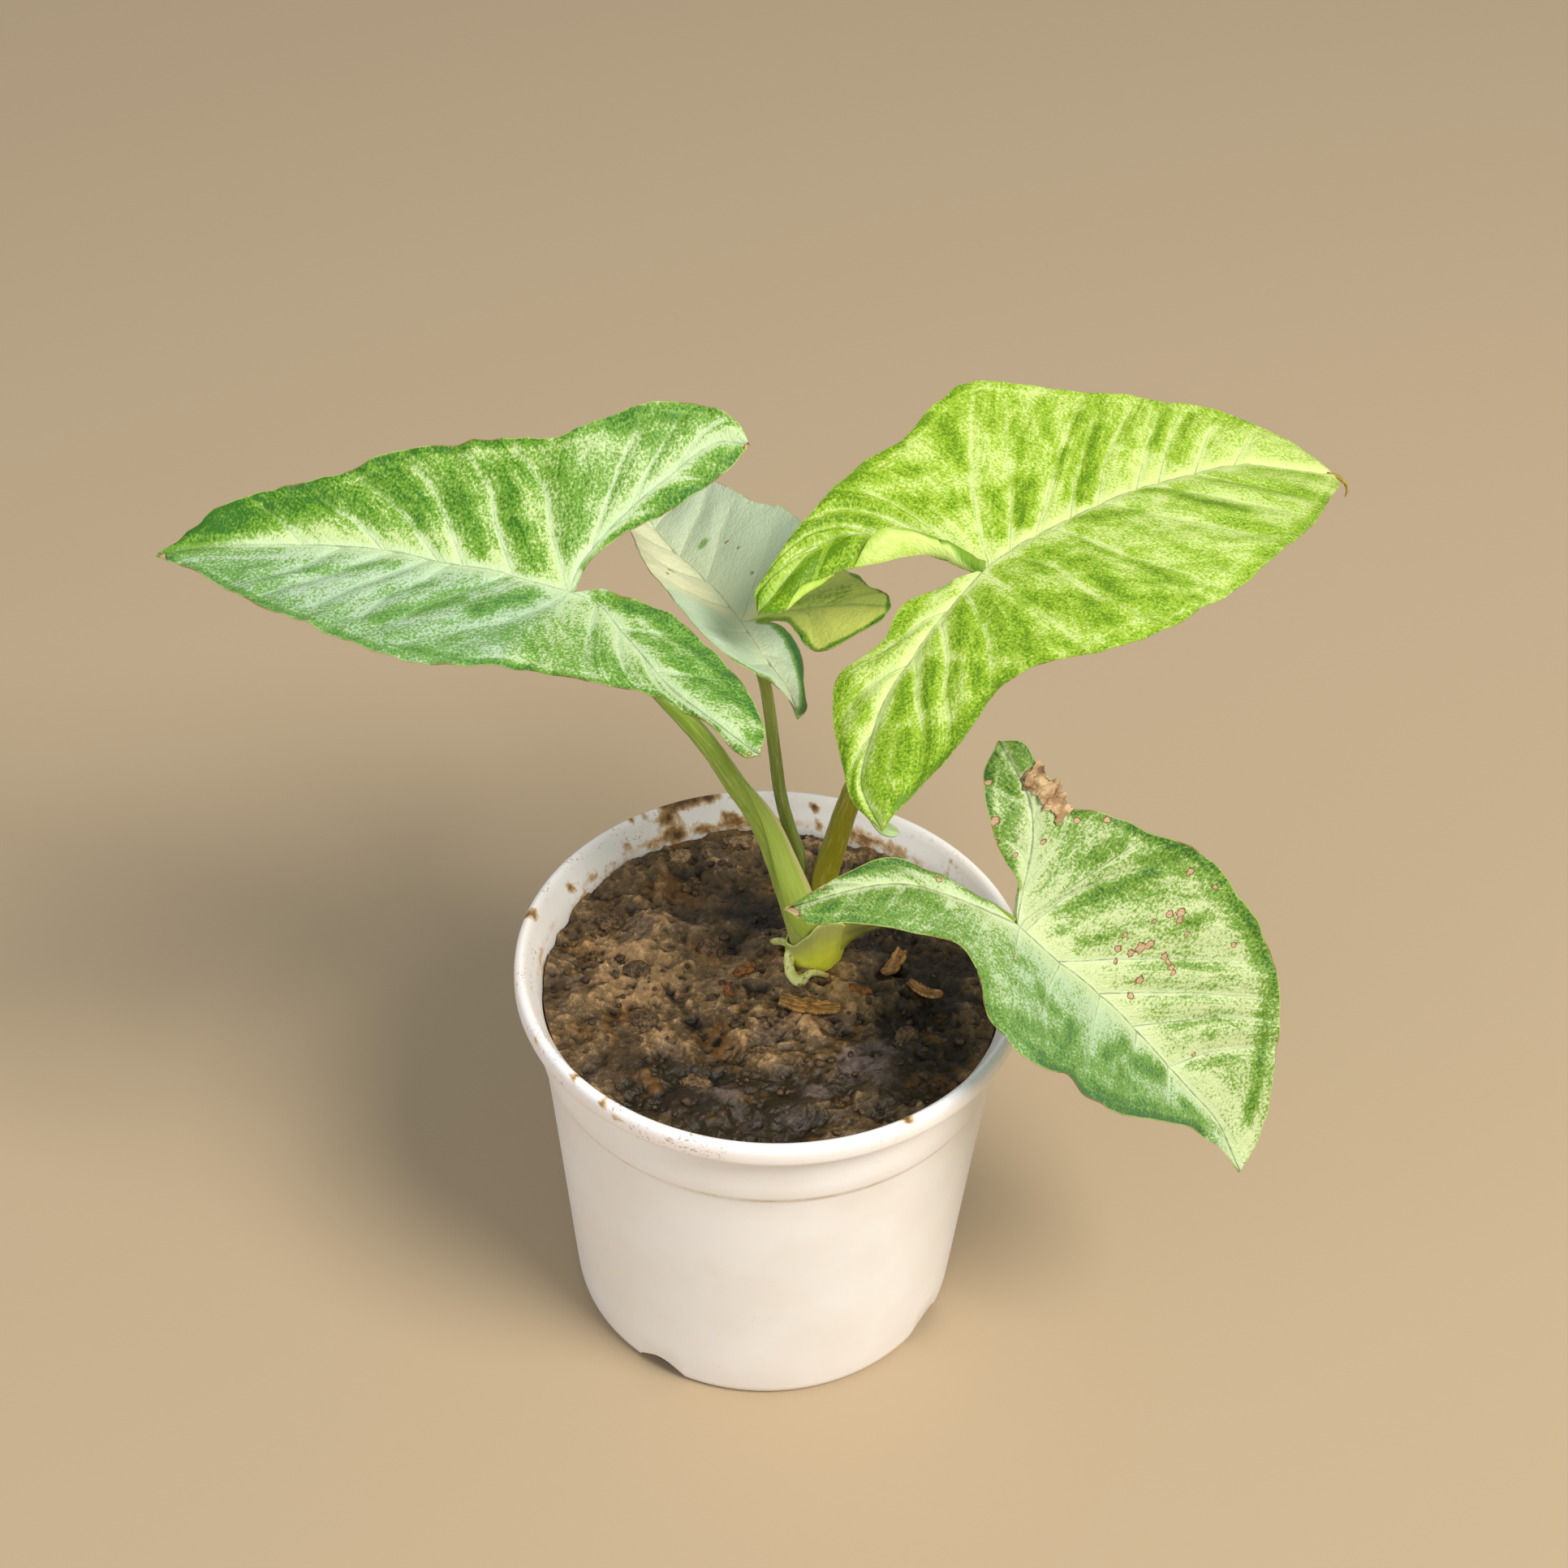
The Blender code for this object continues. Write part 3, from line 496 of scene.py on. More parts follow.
def dirt_on(point):
    x, y, z = (np.array(point) - pot_foot) / MM
    angle = math.degrees(math.atan2(y, x))
    total = 0.0
    if z > MUD_FROM_HEIGHT:
        for turn, height, wide, tall, strength in MUD_PLACES:
            off = math.radians((angle - turn + 180) % 360 - 180) * WALL_RADIUS / wide
            total = max(total, strength * math.exp(-off ** 2 - ((z - height) / tall) ** 2))
    return total


pick(pot)
bpy.ops.object.transform_apply(location=True, rotation=True, scale=True)
mud = pot.data.attributes.new("mud", "FLOAT", "POINT")
mud.data.foreach_set("value", [dirt_on(corner.co) for corner in pot.data.vertices])

# %% [markdown]
# The plastic is a warm cream, smooth but not polished, and a little light passes through it. The
# front of the lip is painted a cooler white: a painted reflection of the sky. Dust has settled in
# the grooves under the rim and band, and the smears are broken up by noise.

# %% The pot's material
UNDER_RIM, UNDER_BAND = 100.6, 82.9


def groove_at(tree, height, level, reach):
    """One at a groove's level, fading out over a reach above and below it."""
    return fade(tree, sums(tree, "ABSOLUTE", sums(tree, "SUBTRACT", height, level)), reach, 0.1)


pot_plastic, tree, shader = new_material("pot_plastic", Subsurface_Weight=0.12,
                                         Subsurface_Scale=4 * MM, IOR=1.47)
place = object_mm(tree)
across, deep, height = add_node(tree, "ShaderNodeSeparateXYZ", {0: place}).outputs
broad = grain(tree, place, 0.035, 3)
cloud = grain(tree, place, 0.12, 4, 0.6)
speck = grain(tree, place, 1.1, 3, 0.65)
groove = sums(tree, "MAXIMUM", groove_at(tree, height, UNDER_RIM, 1.3),
              groove_at(tree, height, UNDER_BAND, 1.2))
dusty = times(tree, groove, fade(tree, cloud, 0.40, 0.68), clamp=True)
splash = times(tree, fade(tree, speck, 0.555, 0.64), fade(tree, height, 99, 103))
splash = times(tree, splash, fade(tree, cloud, 0.47, 0.62))
splash = times(tree, splash, fade(tree, across, 25, -30, 0.35, 1.0))
# a painted reflection of the sky on the front of the lip
painted_lip_sheen = times(tree, fade(tree, height, 104.5, 106.5), fade(tree, deep, -20, -45))
smear = plus(tree, attribute(tree, "mud"), times(tree, sums(
    tree, "SUBTRACT", grain(tree, place, 0.42, 5, 0.62), 0.5), 1.3))
plastic = coats(
    tree, colour(0.975, 0.955, 0.935),
    (fade(tree, broad, 0.35, 0.7), (0.955, 0.925, 0.895)),
    (times(tree, dusty, 0.75), (0.86, 0.72, 0.58)),
    (times(tree, painted_lip_sheen, 0.25), (0.88, 0.93, 0.99)),
    (times(tree, splash, 0.8), (0.62, 0.47, 0.36)),
    (fade(tree, smear, 0.20, 0.52), (0.82, 0.70, 0.53)),
    (fade(tree, smear, 0.44, 0.74), (0.56, 0.41, 0.23)),
    (fade(tree, smear, 0.72, 1.02), (0.31, 0.22, 0.13)))
tree.links.new(plastic, shader.inputs["Base Color"])
tree.links.new(fade(tree, smear, 0.3, 0.6, 0.36, 0.62), shader.inputs["Roughness"])
bump(tree, shader, plus(tree, times(tree, broad, 1.2), times(
    tree, fade(tree, smear, 0.3, 0.7), 1.0)), 0.35, 0.5)
hand_over(pot, "pot_plastic", [pot_plastic], ["pot"])

# %% [markdown]
# ## The soil
# The soil is wet mud with soft lumps, pits and glints. Its top is one fine sheet: a square grid
# rounded to a disc, so that it meets the pot's wall in a clean circle. Height comes from a
# mound at the crown, layered noise and a list of lumps and pits; then the rim of the sheet is
# extruded down the wall and closed under the plug.

# %% Lumps and pits
CROWN = (9.9, 9.3)
SOIL_CELLS = 300
SOIL_RADIUS = 55.6
# place x, y, radius and rise of lumps (+) and pits (-)
SOIL_FEATURES = [(-29, -16, 5.0, 1.7), (-25, -21, 3.6, 1.3), (-37, -10, 4.2, -2.2),
                 (-22, -14, 2.6, 1.1), (0, -26, 3.4, 1.6), (-2, -20, 3.0, -1.9),
                 (-12, -38, 7.5, 1.3), (31, -24, 7.0, 1.8), (24, -30, 4.5, 1.0),
                 (-40, 3, 4.0, 1.3), (-46, -6, 4.6, 1.0), (-33, 12, 3.4, 1.2),
                 (-20, 18, 3.8, 1.4), (-28, 20, 3.2, 1.1), (-21, 39, 4.6, -1.8),
                 (-10, 20, 3.0, 1.2), (-14, 8, 3.8, 1.3), (-3, 2, 3.2, 1.0),
                 (23, 2, 2.4, -1.8), (17, -6, 5.5, 1.5), (30, 6, 4.0, -1.2),
                 (38, 4, 5.0, 0.9), (36, -10, 4.0, -1.3), (12, -40, 5.0, 0.9),
                 (40, 16, 6.0, 0.8), (0, 34, 6.0, 0.9), (-44, 22, 4.0, 1.0),
                 (5, -14, 5.0, 1.0), (-10, -8, 5.0, 0.8), (-8, -18, 3.2, 0.9),
                 (9.5, 2.0, 3.0, 0.9), (-26, 45, 9, 2.0), (-13, 50, 9, 2.2), (0, 52, 9, 1.6),
                 (13, 50, 8, 1.4), (26, 45, 8, 1.4), (35, 39, 8, 1.1), (-37, 37, 8, 1.6)]
print("lumps and pits:", len(SOIL_FEATURES))

# %% [markdown]
# The base level is the plain solid's own, so the fine mud sits where the frame has it. Noise of
# several sizes goes on top: swells, packed cobbles, crumbs and sharp ridges, and all of it is
# stronger in some patches than in others, as mud that has been stirred in places is.

# %% The height of the mud


def mud_base(x, y):
    """The plain solid's own level: a mound and shallow swells."""
    mound = 4.2 * np.exp(-((x - CROWN[0]) ** 2 + (y - CROWN[1]) ** 2) / 17.0 ** 2)
    swell = 0.5 * np.sin(0.19 * x + 1.0) * np.sin(0.17 * y - 0.5)
    return SOIL_LEVEL + mound + swell + 0.25 * np.sin(0.41 * x - 0.29 * y)


def cobbles(flat, size):
    """Rounded lumps packed side by side, each about size millimetres across."""
    spots = (flat / size).reshape(-1, 3)
    away = np.array([noise.voronoi(Vector(spot))[0][0] for spot in spots])
    return (0.5 - away ** 2).reshape(flat.shape[:-1])


def mud_height(x, y):
    level = mud_base(x, y)
    for px, py, size, rise in SOIL_FEATURES:
        near = np.exp(-((x - px) ** 2 + (y - py) ** 2) / size ** 2)
        level = level + rise * near
    flat = np.stack([x, y, np.zeros_like(x)], axis=-1)
    flat = flat + 0.9 * np.stack([noise_at(flat, 4.0, 2, 3.0), noise_at(flat, 4.0, 2, 8.0),
                                  0 * x], axis=-1)
    rough = 0.40 + 0.60 * np.clip(noise_at(flat, 24.0, 2, 9.0) + 0.65, 0, 1)
    lumps = 2.2 * noise_at(flat, 9.0, 4) + 1.2 * cobbles(flat, 7.0)
    crumbs = 0.60 * noise_at(flat, 2.8, 3, 31.0) + 0.35 * cobbles(flat + 40.0, 3.0)
    ridges = 1 - np.abs(noise_at(flat, 4.6, 3, 57.0)) * 2
    level = level + rough * (lumps + crumbs + 0.35 * ridges)
    return level + 0.14 * noise_at(flat, 0.9, 3, 5.0)


# %% [markdown]
# Where silt has dried and where water stands are patches too, each a place x, y, a radius and a
# strength. A plus makes the mud lighter and a minus wetter and darker, so the patches also hold
# painted pools of light and painted shadows cast by the rim and the leaves. They become values on
# the sheet for the material.

# %% Silt, water and painted light
SILT_AND_LIGHT_PLACES = [(-32, 10, 9, 0.9), (-25, -1, 8, 0.8), (-36, -4, 6, 0.9), (-10, -4, 7, 0.55),
               (6, -10, 8, 0.75), (18, -6, 7, 0.75), (16, 4, 6, 0.5), (16, -20, 7, 0.35),
               (-26, -18, 5, 0.8), (-1, -22, 4, 0.4), (-42, 12, 6, 0.5), (-14, -34, 4, 0.5),
               (-22, 38, 9, -0.3), (-8, 26, 9, -0.6), (30, 14, 9, -0.9), (40, -6, 11, -1.0),
               (30, -26, 14, -1.2), (2, -42, 14, -1.2), (-28, -34, 11, -0.9), (-12, -40, 12, -0.7),
               (-16, -16, 7, -0.35), (2, 22, 8, -0.8), (16, 26, 9, -0.4), (44, 10, 8, -0.6)]
# a thin film of grey silt and water, partly a painted reflection of the sky
FILM_AND_REFLECTION_PLACES = [(22, -26, 7, 1.1), (12, -36, 5, 0.8), (-10, -37, 4.5, 0.9), (17, -13, 5, 0.6),
               (30, -20, 4, 0.5)]


def spread_at(x, y, places):
    total = 0 * x
    for px, py, size, strength in places:
        total = total + strength * np.exp(-((x - px) ** 2 + (y - py) ** 2) / size ** 2)
    return np.clip(total, -1, 1)


# %% [markdown]
# Two more values say how each place lies against its surroundings: a ridge stands above its near
# neighbours, a hollow lies below its wider ones. Each is the height less its own average. Then
# the sheet's rim is extruded twice, in from the wall and down, flattened and closed.

# %% The sheet, its skirt and its underside
# each step of the skirt: how far down in mm, and how much narrower
SKIRT_STEPS = ((12, 0.985), (70, 0.895))
PLUG_FOOT = 4.4
NEAR_CELLS, WIDE_CELLS = 4, 14

side = np.linspace(-1, 1, SOIL_CELLS + 1)
square_x, square_y = np.meshgrid(side, side)
disc_x = SOIL_RADIUS * square_x * np.sqrt(1 - square_y ** 2 / 2)
disc_y = SOIL_RADIUS * square_y * np.sqrt(1 - square_x ** 2 / 2)
mud_z = mud_height(disc_x, disc_y)


def smoothed(level, reach):
    """Average a grid over squares of reach cells each way, twice."""
    for _ in range(2):
        padded = np.pad(level, reach, mode="edge")
        total = np.pad(padded.cumsum(0).cumsum(1), ((1, 0), (1, 0)))
        wide = 2 * reach + 1
        level = (total[wide:, wide:] - total[:-wide, wide:] - total[wide:, :-wide]
                 + total[:-wide, :-wide]) / wide ** 2
    return level


ridge = mud_z - smoothed(mud_z, NEAR_CELLS)
hollow = mud_z - smoothed(mud_z, WIDE_CELLS)
soil = grid_sheet("wet_soil", np.stack([disc_x, disc_y, mud_z], axis=-1), hollow=hollow,
                  ridge=ridge, silt=spread_at(disc_x, disc_y, SILT_AND_LIGHT_PLACES),
                  film=spread_at(disc_x, disc_y, FILM_AND_REFLECTION_PLACES))
pick(soil)
bpy.ops.object.mode_set(mode="EDIT")
bpy.ops.mesh.select_all(action="SELECT")
bpy.ops.mesh.region_to_loop()
for drop, squeeze in SKIRT_STEPS:
    bpy.ops.mesh.extrude_region_move(TRANSFORM_OT_translate={"value": (0, 0, -drop * MM)})
    bpy.ops.transform.resize(value=(squeeze, squeeze, 1), center_override=tuple(pot_foot))
bpy.ops.transform.resize(value=(1, 1, 0), center_override=tuple(in_frame((0, 0, PLUG_FOOT))))
bpy.ops.mesh.edge_face_add()
bpy.ops.object.mode_set(mode="OBJECT")
soil.data.shade_smooth()
print("mud from", round(float(mud_z.min()), 1), "to", round(float(mud_z.max()), 1), "mm")

# %% [markdown]
# Wet mud changes colour with how thick its skin of fine silt is: ochre where silt has dried,
# purple grey where water stands, partly a painted reflection of the sky. Light and shade are
# painted in as well: pale crumb tops are painted highlights, dark creases and nearly black pits
# are painted shade, and tiny bright dots on the crumbs are painted glints. Its water makes it
# glossy, most of all where it is wettest, and paler grains lie where it is drier.

# %% Mud's material
soil_wet, tree, shader = new_material("soil_wet", IOR=1.36)
place = object_mm(tree)
hollow, ridge, dried = (attribute(tree, layer) for layer in ("hollow", "ridge", "silt"))
patches = grain(tree, place, 0.07, 4, 0.6)
silt = grain(tree, place, 0.20, 5, 0.65, distortion=0.6)
fine = grain(tree, place, 0.8, 5, 0.68)
gritty = grain(tree, place, 2.4, 4, 0.65)
# dried silt mixed with painted pools of light and painted shadows
dryness_and_light = add_up(tree, silt, 1.8, dried, 0.5)
# hollows are darkened here: painted shade in the dips
dryness_and_light = sums(tree, "MULTIPLY_ADD", hollow, 0.35, dryness_and_light)
film = add_up(tree, silt, 1.6, attribute(tree, "film"), 0.5)
light_bits = times(tree, fade(tree, fine, 0.50, 0.70), fade(tree, dryness_and_light, -0.6, 0.9))
painted_ridge_highlights = times(tree, fade(tree, ridge, 0.05, 0.7), fade(
    tree, dryness_and_light, -0.35, 0.9, 0.0, 0.70))
painted_glints = times(tree, fade(tree, gritty, 0.60, 0.68), fade(tree, dryness_and_light, -0.5, 0.7))
# painted light in the mud: crumb tops are painted highlights, creases and pits painted shade, white
# dots painted glints, and the purple grey partly a painted reflection of the sky
mud_tone = coats(
    tree, colour(0.16, 0.12, 0.05),
    (fade(tree, dryness_and_light, -0.9, 0.30), (0.39, 0.305, 0.19)),
    (fade(tree, dryness_and_light, 0.15, 1.2), (0.60, 0.47, 0.31)),
    (fade(tree, patches, 0.54, 0.66, 0, 0.35), (0.42, 0.36, 0.33)),
    (fade(tree, patches, 0.45, 0.36, 0, 0.45), (0.52, 0.35, 0.13)),
    (fade(tree, film, 0.3, 0.9, 0, 0.75), (0.43, 0.37, 0.345)),
    (times(tree, light_bits, 0.75), (0.76, 0.61, 0.43)),
    (fade(tree, fine, 0.44, 0.30, 0, 0.45), (0.13, 0.10, 0.07)),
    (painted_ridge_highlights, (0.76, 0.60, 0.41)),
    (fade(tree, ridge, -0.10, -0.75, 0, 0.8), (0.10, 0.075, 0.05)),
    (fade(tree, hollow, -0.5, -2.4, 0, 0.8), (0.08, 0.055, 0.04)),
    (times(tree, painted_glints, fade(tree, ridge, -0.1, 0.3)), (0.96, 0.86, 0.68)))
tree.links.new(mud_tone, shader.inputs["Base Color"])
tree.links.new(fade(tree, dryness_and_light, -0.8, 0.8, 0.16, 0.36), shader.inputs["Roughness"])
knobs = grain(tree, place, 0.34, 3, 0.5)
bump(tree, shader, plus(tree, times(tree, knobs, 1.3), sums(
    tree, "MULTIPLY_ADD", gritty, 0.16, times(tree, fine, 0.5))), 0.7, 1.0)
hand_over(soil, "soil_wet", [soil_wet], ["soil"])

# %% [markdown]
# ## The leaves
# Each blade is one thin sheet, bent a little: it folds softly along its midrib and arches from
# the joint with its stalk to the tip. So a blade is drawn flat first, in millimetres along and
# across the midrib, as one would cut it from paper, and then the flat drawing is carried onto
# the bent sheet. The numbers that place and bend each sheet are the plain solids' own; the
# outlines are drawn finer, and "wave" says how much a margin waves.

# %% Placing, bending and outlines of the four blades
CREASE = 6.0
BLADES = {
    "leaf_blade_left": dict(
        joint=(-46.1, 0.0, 216.2), heading=170, pitch=-3, roll=-12, arch=(0.0005, 0.004),
        fold=(0.30, 0.55), droop=(0.002, -0.001), twist=-0.0006, bow=-5.6, side=0.0,
        tip=(96.5, -0.8),
        outer_plus=[(84, 5), (65, 15), (45, 24), (26, 30)], shoulder_plus=(8, 28),
        lobe_plus=[(-12, 29.5), (-26, 32), (-39, 38), (-48, 46)], lobe_tip_plus=(-51, 44),
        inner_plus=[(-50, 35), (-43, 23), (-33, 12), (-21, 3), (-9, -1)],
        vein_plus=[(-7, 3), (-14, 11), (-21, 19), (-29, 28), (-41, 37)],
        outer_minus=[(90, -7), (79, -15), (60, -21), (46, -27), (24, -31)],
        shoulder_minus=(6, -32),
        lobe_minus=[(-8, -38.5), (-20, -41), (-30, -39)], lobe_tip_minus=(-34, -35),
        inner_minus=[(-29, -28), (-18, -19), (-7.5, -12), (-2.0, -6)],
        vein_minus=[(-0.1, -4.5), (-2.6, -9.8), (-9, -18), (-17, -26), (-26, -34)],
        midrib=[(96.5, -0.8), (86, -4), (71, -6), (57, -7), (43, -7), (30, -5), (18, -4), (10, -2),
                (0, 0)]),
    "leaf_blade_right": dict(
        joint=(43.3, 0.0, 226.3), heading=41, pitch=7, roll=-4, arch=(0.0058, 0.009),
        fold=(0.32, 0.10), droop=(0.0, 0.005), twist=0.0013, bow=3.6, side=-3.0, wave=0.9,
        tip=(107, -3),
        outer_plus=[(107, 6), (95, 17), (76, 25), (60, 31), (46, 38), (35, 43), (24, 41.5)],
        shoulder_plus=(10, 37.5),
        lobe_plus=[(-6, 37), (-20, 35), (-32, 33), (-39, 31)], lobe_tip_plus=(-42, 27),
        inner_plus=[(-39, 22.5), (-32, 22), (-25, 21), (-18, 17), (-10, 13), (-4, 8)],
        vein_plus=[(-8, 17), (-20, 28)],
        outer_minus=[(102, -9), (93, -14.5), (76, -25), (57, -33), (40, -38.5), (26, -41)],
        shoulder_minus=(13, -42),
        lobe_minus=[(-1, -39), (-13, -33), (-24, -30.5), (-38, -34), (-51, -34)],
        lobe_tip_minus=(-61, -34),
        inner_minus=[(-60, -24), (-55, -15), (-48, -4), (-40, 3), (-30, 1), (-20, 4.5), (-9, 2)],
        vein_minus=[(-7, -2), (-19, -5), (-29, -8), (-39, -11), (-48, -16), (-56, -22)],
        midrib=[(107, -3), (93, 0), (81, 3), (61, 2), (45, 2), (25, 1), (12, 1), (0, 0)]),
    "leaf_blade_front": dict(
        joint=(56.4, -20.0, 139.9), heading=-16, pitch=-36, roll=15, arch=(0.0028, 0.007),
        fold=(0.75, 0.40), droop=(-0.002, 0.001), twist=0.0012, bow=1.5, side=-8.0,
        tip=(83, -8),
        outer_plus=[(81, 2), (74, 11), (64, 21), (52, 28), (38, 31.5), (24, 33)],
        shoulder_plus=(11, 30),
        lobe_plus=[(-1, 27), (-9, 24), (-17, 26.5), (-25, 29)], lobe_tip_plus=(-30, 27),
        inner_plus=[(-28, 21), (-22, 14.5), (-13, 10), (-5, 6.5)],
        vein_plus=[(-3, 6), (-8, 14), (-14, 20), (-22, 24)],
        outer_minus=[(73, -8), (63, -11), (50, -19.5), (40, -26), (30, -29), (24, -28.5),
                     (17, -32.5)],
        shoulder_minus=(7, -33),
        lobe_minus=[(-1, -29.5), (-6, -20), (-13, -18.5), (-24, -23.5), (-37, -32), (-46, -40)],
        lobe_tip_minus=(-52, -40),
        inner_minus=[(-47, -29), (-41, -17), (-34, -6.5), (-23, -2.5), (-10, -0.5)],
        vein_minus=[(-10, -3), (-19, -6), (-27, -10), (-34, -16), (-42, -26)],
        midrib=[(83, -8), (71, -3), (59, -2), (46, -1), (33, 0), (22, 0), (11, -0.6), (0, 0)]),
    "leaf_blade_back": dict(
        joint=(-9.4, 20.0, 194.6), heading=117, pitch=-3, roll=12, arch=(0.001, -0.001),
        fold=(0.60, 0.80), droop=(0.001, -0.002), twist=0.0004, bow=4.0, side=-4.0, wave=0.6,
        tip=(70, -4),
        outer_plus=[(62, 3), (45, 9), (30, 14), (15, 18)], shoulder_plus=(3, 20),
        lobe_plus=[(-8, 20.5), (-19, 20), (-26, 15), (-29, 8), (-37, 6.5)],
        lobe_tip_plus=(-46, 9),
        inner_plus=[(-40, 3.4), (-34, 0.4), (-28.4, -2), (-24, -3.9), (-20, -5.2), (-15, -6.2),
                    (-10.5, -6.6), (-6, -6.0), (-2.5, -3.6)],
        vein_plus=[(-10, 1), (-21, 2), (-31, 3)],
        outer_minus=[(63, -11.5), (50, -15), (34, -16.5), (24, -20)], shoulder_minus=(8, -21),
        lobe_minus=[(-4, -21.8), (-9, -22.8), (-14, -23.0), (-19.5, -24.2)],
        lobe_tip_minus=(-23.4, -23.4),
        inner_minus=[(-25.2, -20.8), (-24.6, -17.6), (-24.2, -14), (-23.2, -10.8), (-20.6, -8.0),
                     (-17, -7.1), (-12, -7.5), (-7, -7.4), (-3.2, -4.6)],
        vein_minus=[(-2.4, -7), (-8, -13.5), (-15, -19)],
        midrib=[(70, -4), (54, 0), (38, 2), (24, 1), (12, 0), (0, 0)]),
}

# %% [markdown]
# Side veins run from the midrib to the margin. The green of a variegated leaf follows them: it
# lies in streaks between veins, and the veins themselves stay pale. Each list below gives one
# vein's way, flat, and each pair for a lobe says where a vein leaves the lobe's own vein and
# where it meets the margin, as shares of their lengths.

# %% Side veins
VEINS = {
    "leaf_blade_left": dict(
        plus=[[(2, 3), (5, 7), (10, 12), (18, 17), (25, 22), (30, 24)],
              [(15, -3), (23, 4), (29, 10), (35, 18), (38, 21)],
              [(29, -4), (33, 2), (39, 8), (42, 16), (45, 19)],
              [(34, -5), (41, 1), (47, 6), (52, 12), (56, 15)],
              [(43, -6), (49, -2), (55, 3), (61, 7), (66, 10)],
              [(54, -7), (60, -1), (65, 3), (70, 6)]],
        minus=[[(3, -5), (7, -13), (9, -20), (13, -25), (18, -29)],
               [(16, -7), (20, -14), (22, -20), (27, -26), (31, -29)],
               [(27, -7), (31, -14), (35, -20), (41, -25), (44, -27)],
               [(35, -9), (40, -14), (46, -18), (52, -21), (55, -22)],
               [(47, -9), (52, -13), (56, -14), (63, -18)],
               [(65, -8), (69, -11), (71, -12)]],
        lobe_plus=dict(outer=[(0.10, 0.30), (0.25, 0.50), (0.42, 0.68), (0.60, 0.84)],
                       inner=[(0.25, 0.45), (0.50, 0.70)]),
        lobe_minus=dict(outer=[(0.20, 0.42), (0.42, 0.66), (0.65, 0.85)],
                        inner=[(0.35, 0.55), (0.60, 0.80)])),
    "leaf_blade_right": dict(
        plus=[[(1, 0), (7, 10), (15, 21), (24, 30), (33, 39), (37, 42)],
              [(8, 1), (19, 12), (27, 22), (37, 33)],
              [(14, 0), (28, 10), (39, 18), (53, 27), (59, 31)],
              [(26, 1), (36, 10), (47, 18)],
              [(34, 1), (47, 12), (60, 20), (70, 26)],
              [(47, 2), (60, 12), (74, 22)],
              [(55, 3), (64, 10), (78, 19)],
              [(68, 4), (81, 13), (92, 18)],
              [(79, 3), (93, 11), (104, 15)]],
        minus=[[(7, 0), (10, -11), (9, -20), (9, -29), (11, -36)],
               [(20, 0), (23, -10), (24, -18), (28, -26), (31, -33)],
               [(37, 0), (43, -11), (49, -18), (55, -25), (63, -27)],
               [(52, 1), (58, -6), (66, -14), (74, -20)],
               [(66, 1), (71, -4), (78, -9), (84, -14)]],
        lobe_plus=dict(outer=[(0.03, 0.37), (0.18, 0.58), (0.40, 0.80), (0.62, 0.93)],
                       inner=[(0.35, 0.50), (0.60, 0.75)]),
        lobe_minus=dict(outer=[(0.02, 0.24), (0.12, 0.55), (0.24, 0.78), (0.38, 0.92)],
                        inner=[(0.20, 0.42), (0.42, 0.66), (0.66, 0.86)])),
    "leaf_blade_front": dict(
        plus=[[(1, 1), (1, 9), (2, 17), (2, 23)],
              [(3, 2), (5, 10), (10, 18), (15, 24), (19, 28)],
              [(14, 0), (23, 7), (32, 13), (45, 21)],
              [(26, 0), (34, 6), (45, 13), (56, 19)],
              [(37, -1), (44, 5), (54, 13), (60, 16)],
              [(52, -1), (57, 6), (63, 11)]],
        minus=[[(1, -2), (2, -7), (3, -15), (5, -24)],
               [(14, -1), (13, -9), (14, -17), (17, -26)],
               [(27, -2), (28, -11), (29, -20)],
               [(40, -2), (41, -8), (43, -16)],
               [(52, -3), (54, -8), (56, -13)]],
        lobe_plus=dict(outer=[(0.20, 0.45), (0.50, 0.75)], inner=[(0.30, 0.50), (0.60, 0.80)]),
        lobe_minus=dict(outer=[(0.10, 0.30), (0.25, 0.50), (0.45, 0.70), (0.65, 0.86)],
                        inner=[(0.30, 0.50), (0.60, 0.80)])),
    "leaf_blade_back": dict(
        plus=[[(6, 0), (9, 6), (12, 14)], [(18, 0), (22, 6), (27, 12)], [(32, 1), (36, 6), (40, 9)],
              [(44, 1), (48, 4), (52, 6)]],
        minus=[[(1, -1), (9, -7), (16, -13), (20, -16)], [(18, 0), (25, -5), (30, -8), (36, -13)],
               [(32, 0), (37, -4), (41, -8), (47, -12)], [(46, 0), (50, -5), (56, -10)]],
        lobe_plus=dict(outer=[(0.10, 0.30), (0.40, 0.60)], inner=[(0.30, 0.50)]),
        lobe_minus=dict(outer=[(0.20, 0.50), (0.55, 0.80)], inner=[(0.40, 0.60)])),
}

# %% [markdown]
# Green lies in patches. Each patch is a brush stroke on the flat leaf: it runs from one point to
# another, with a width and a strength. The material breaks the strokes into fine specks, so
# their places matter and their shapes don't.

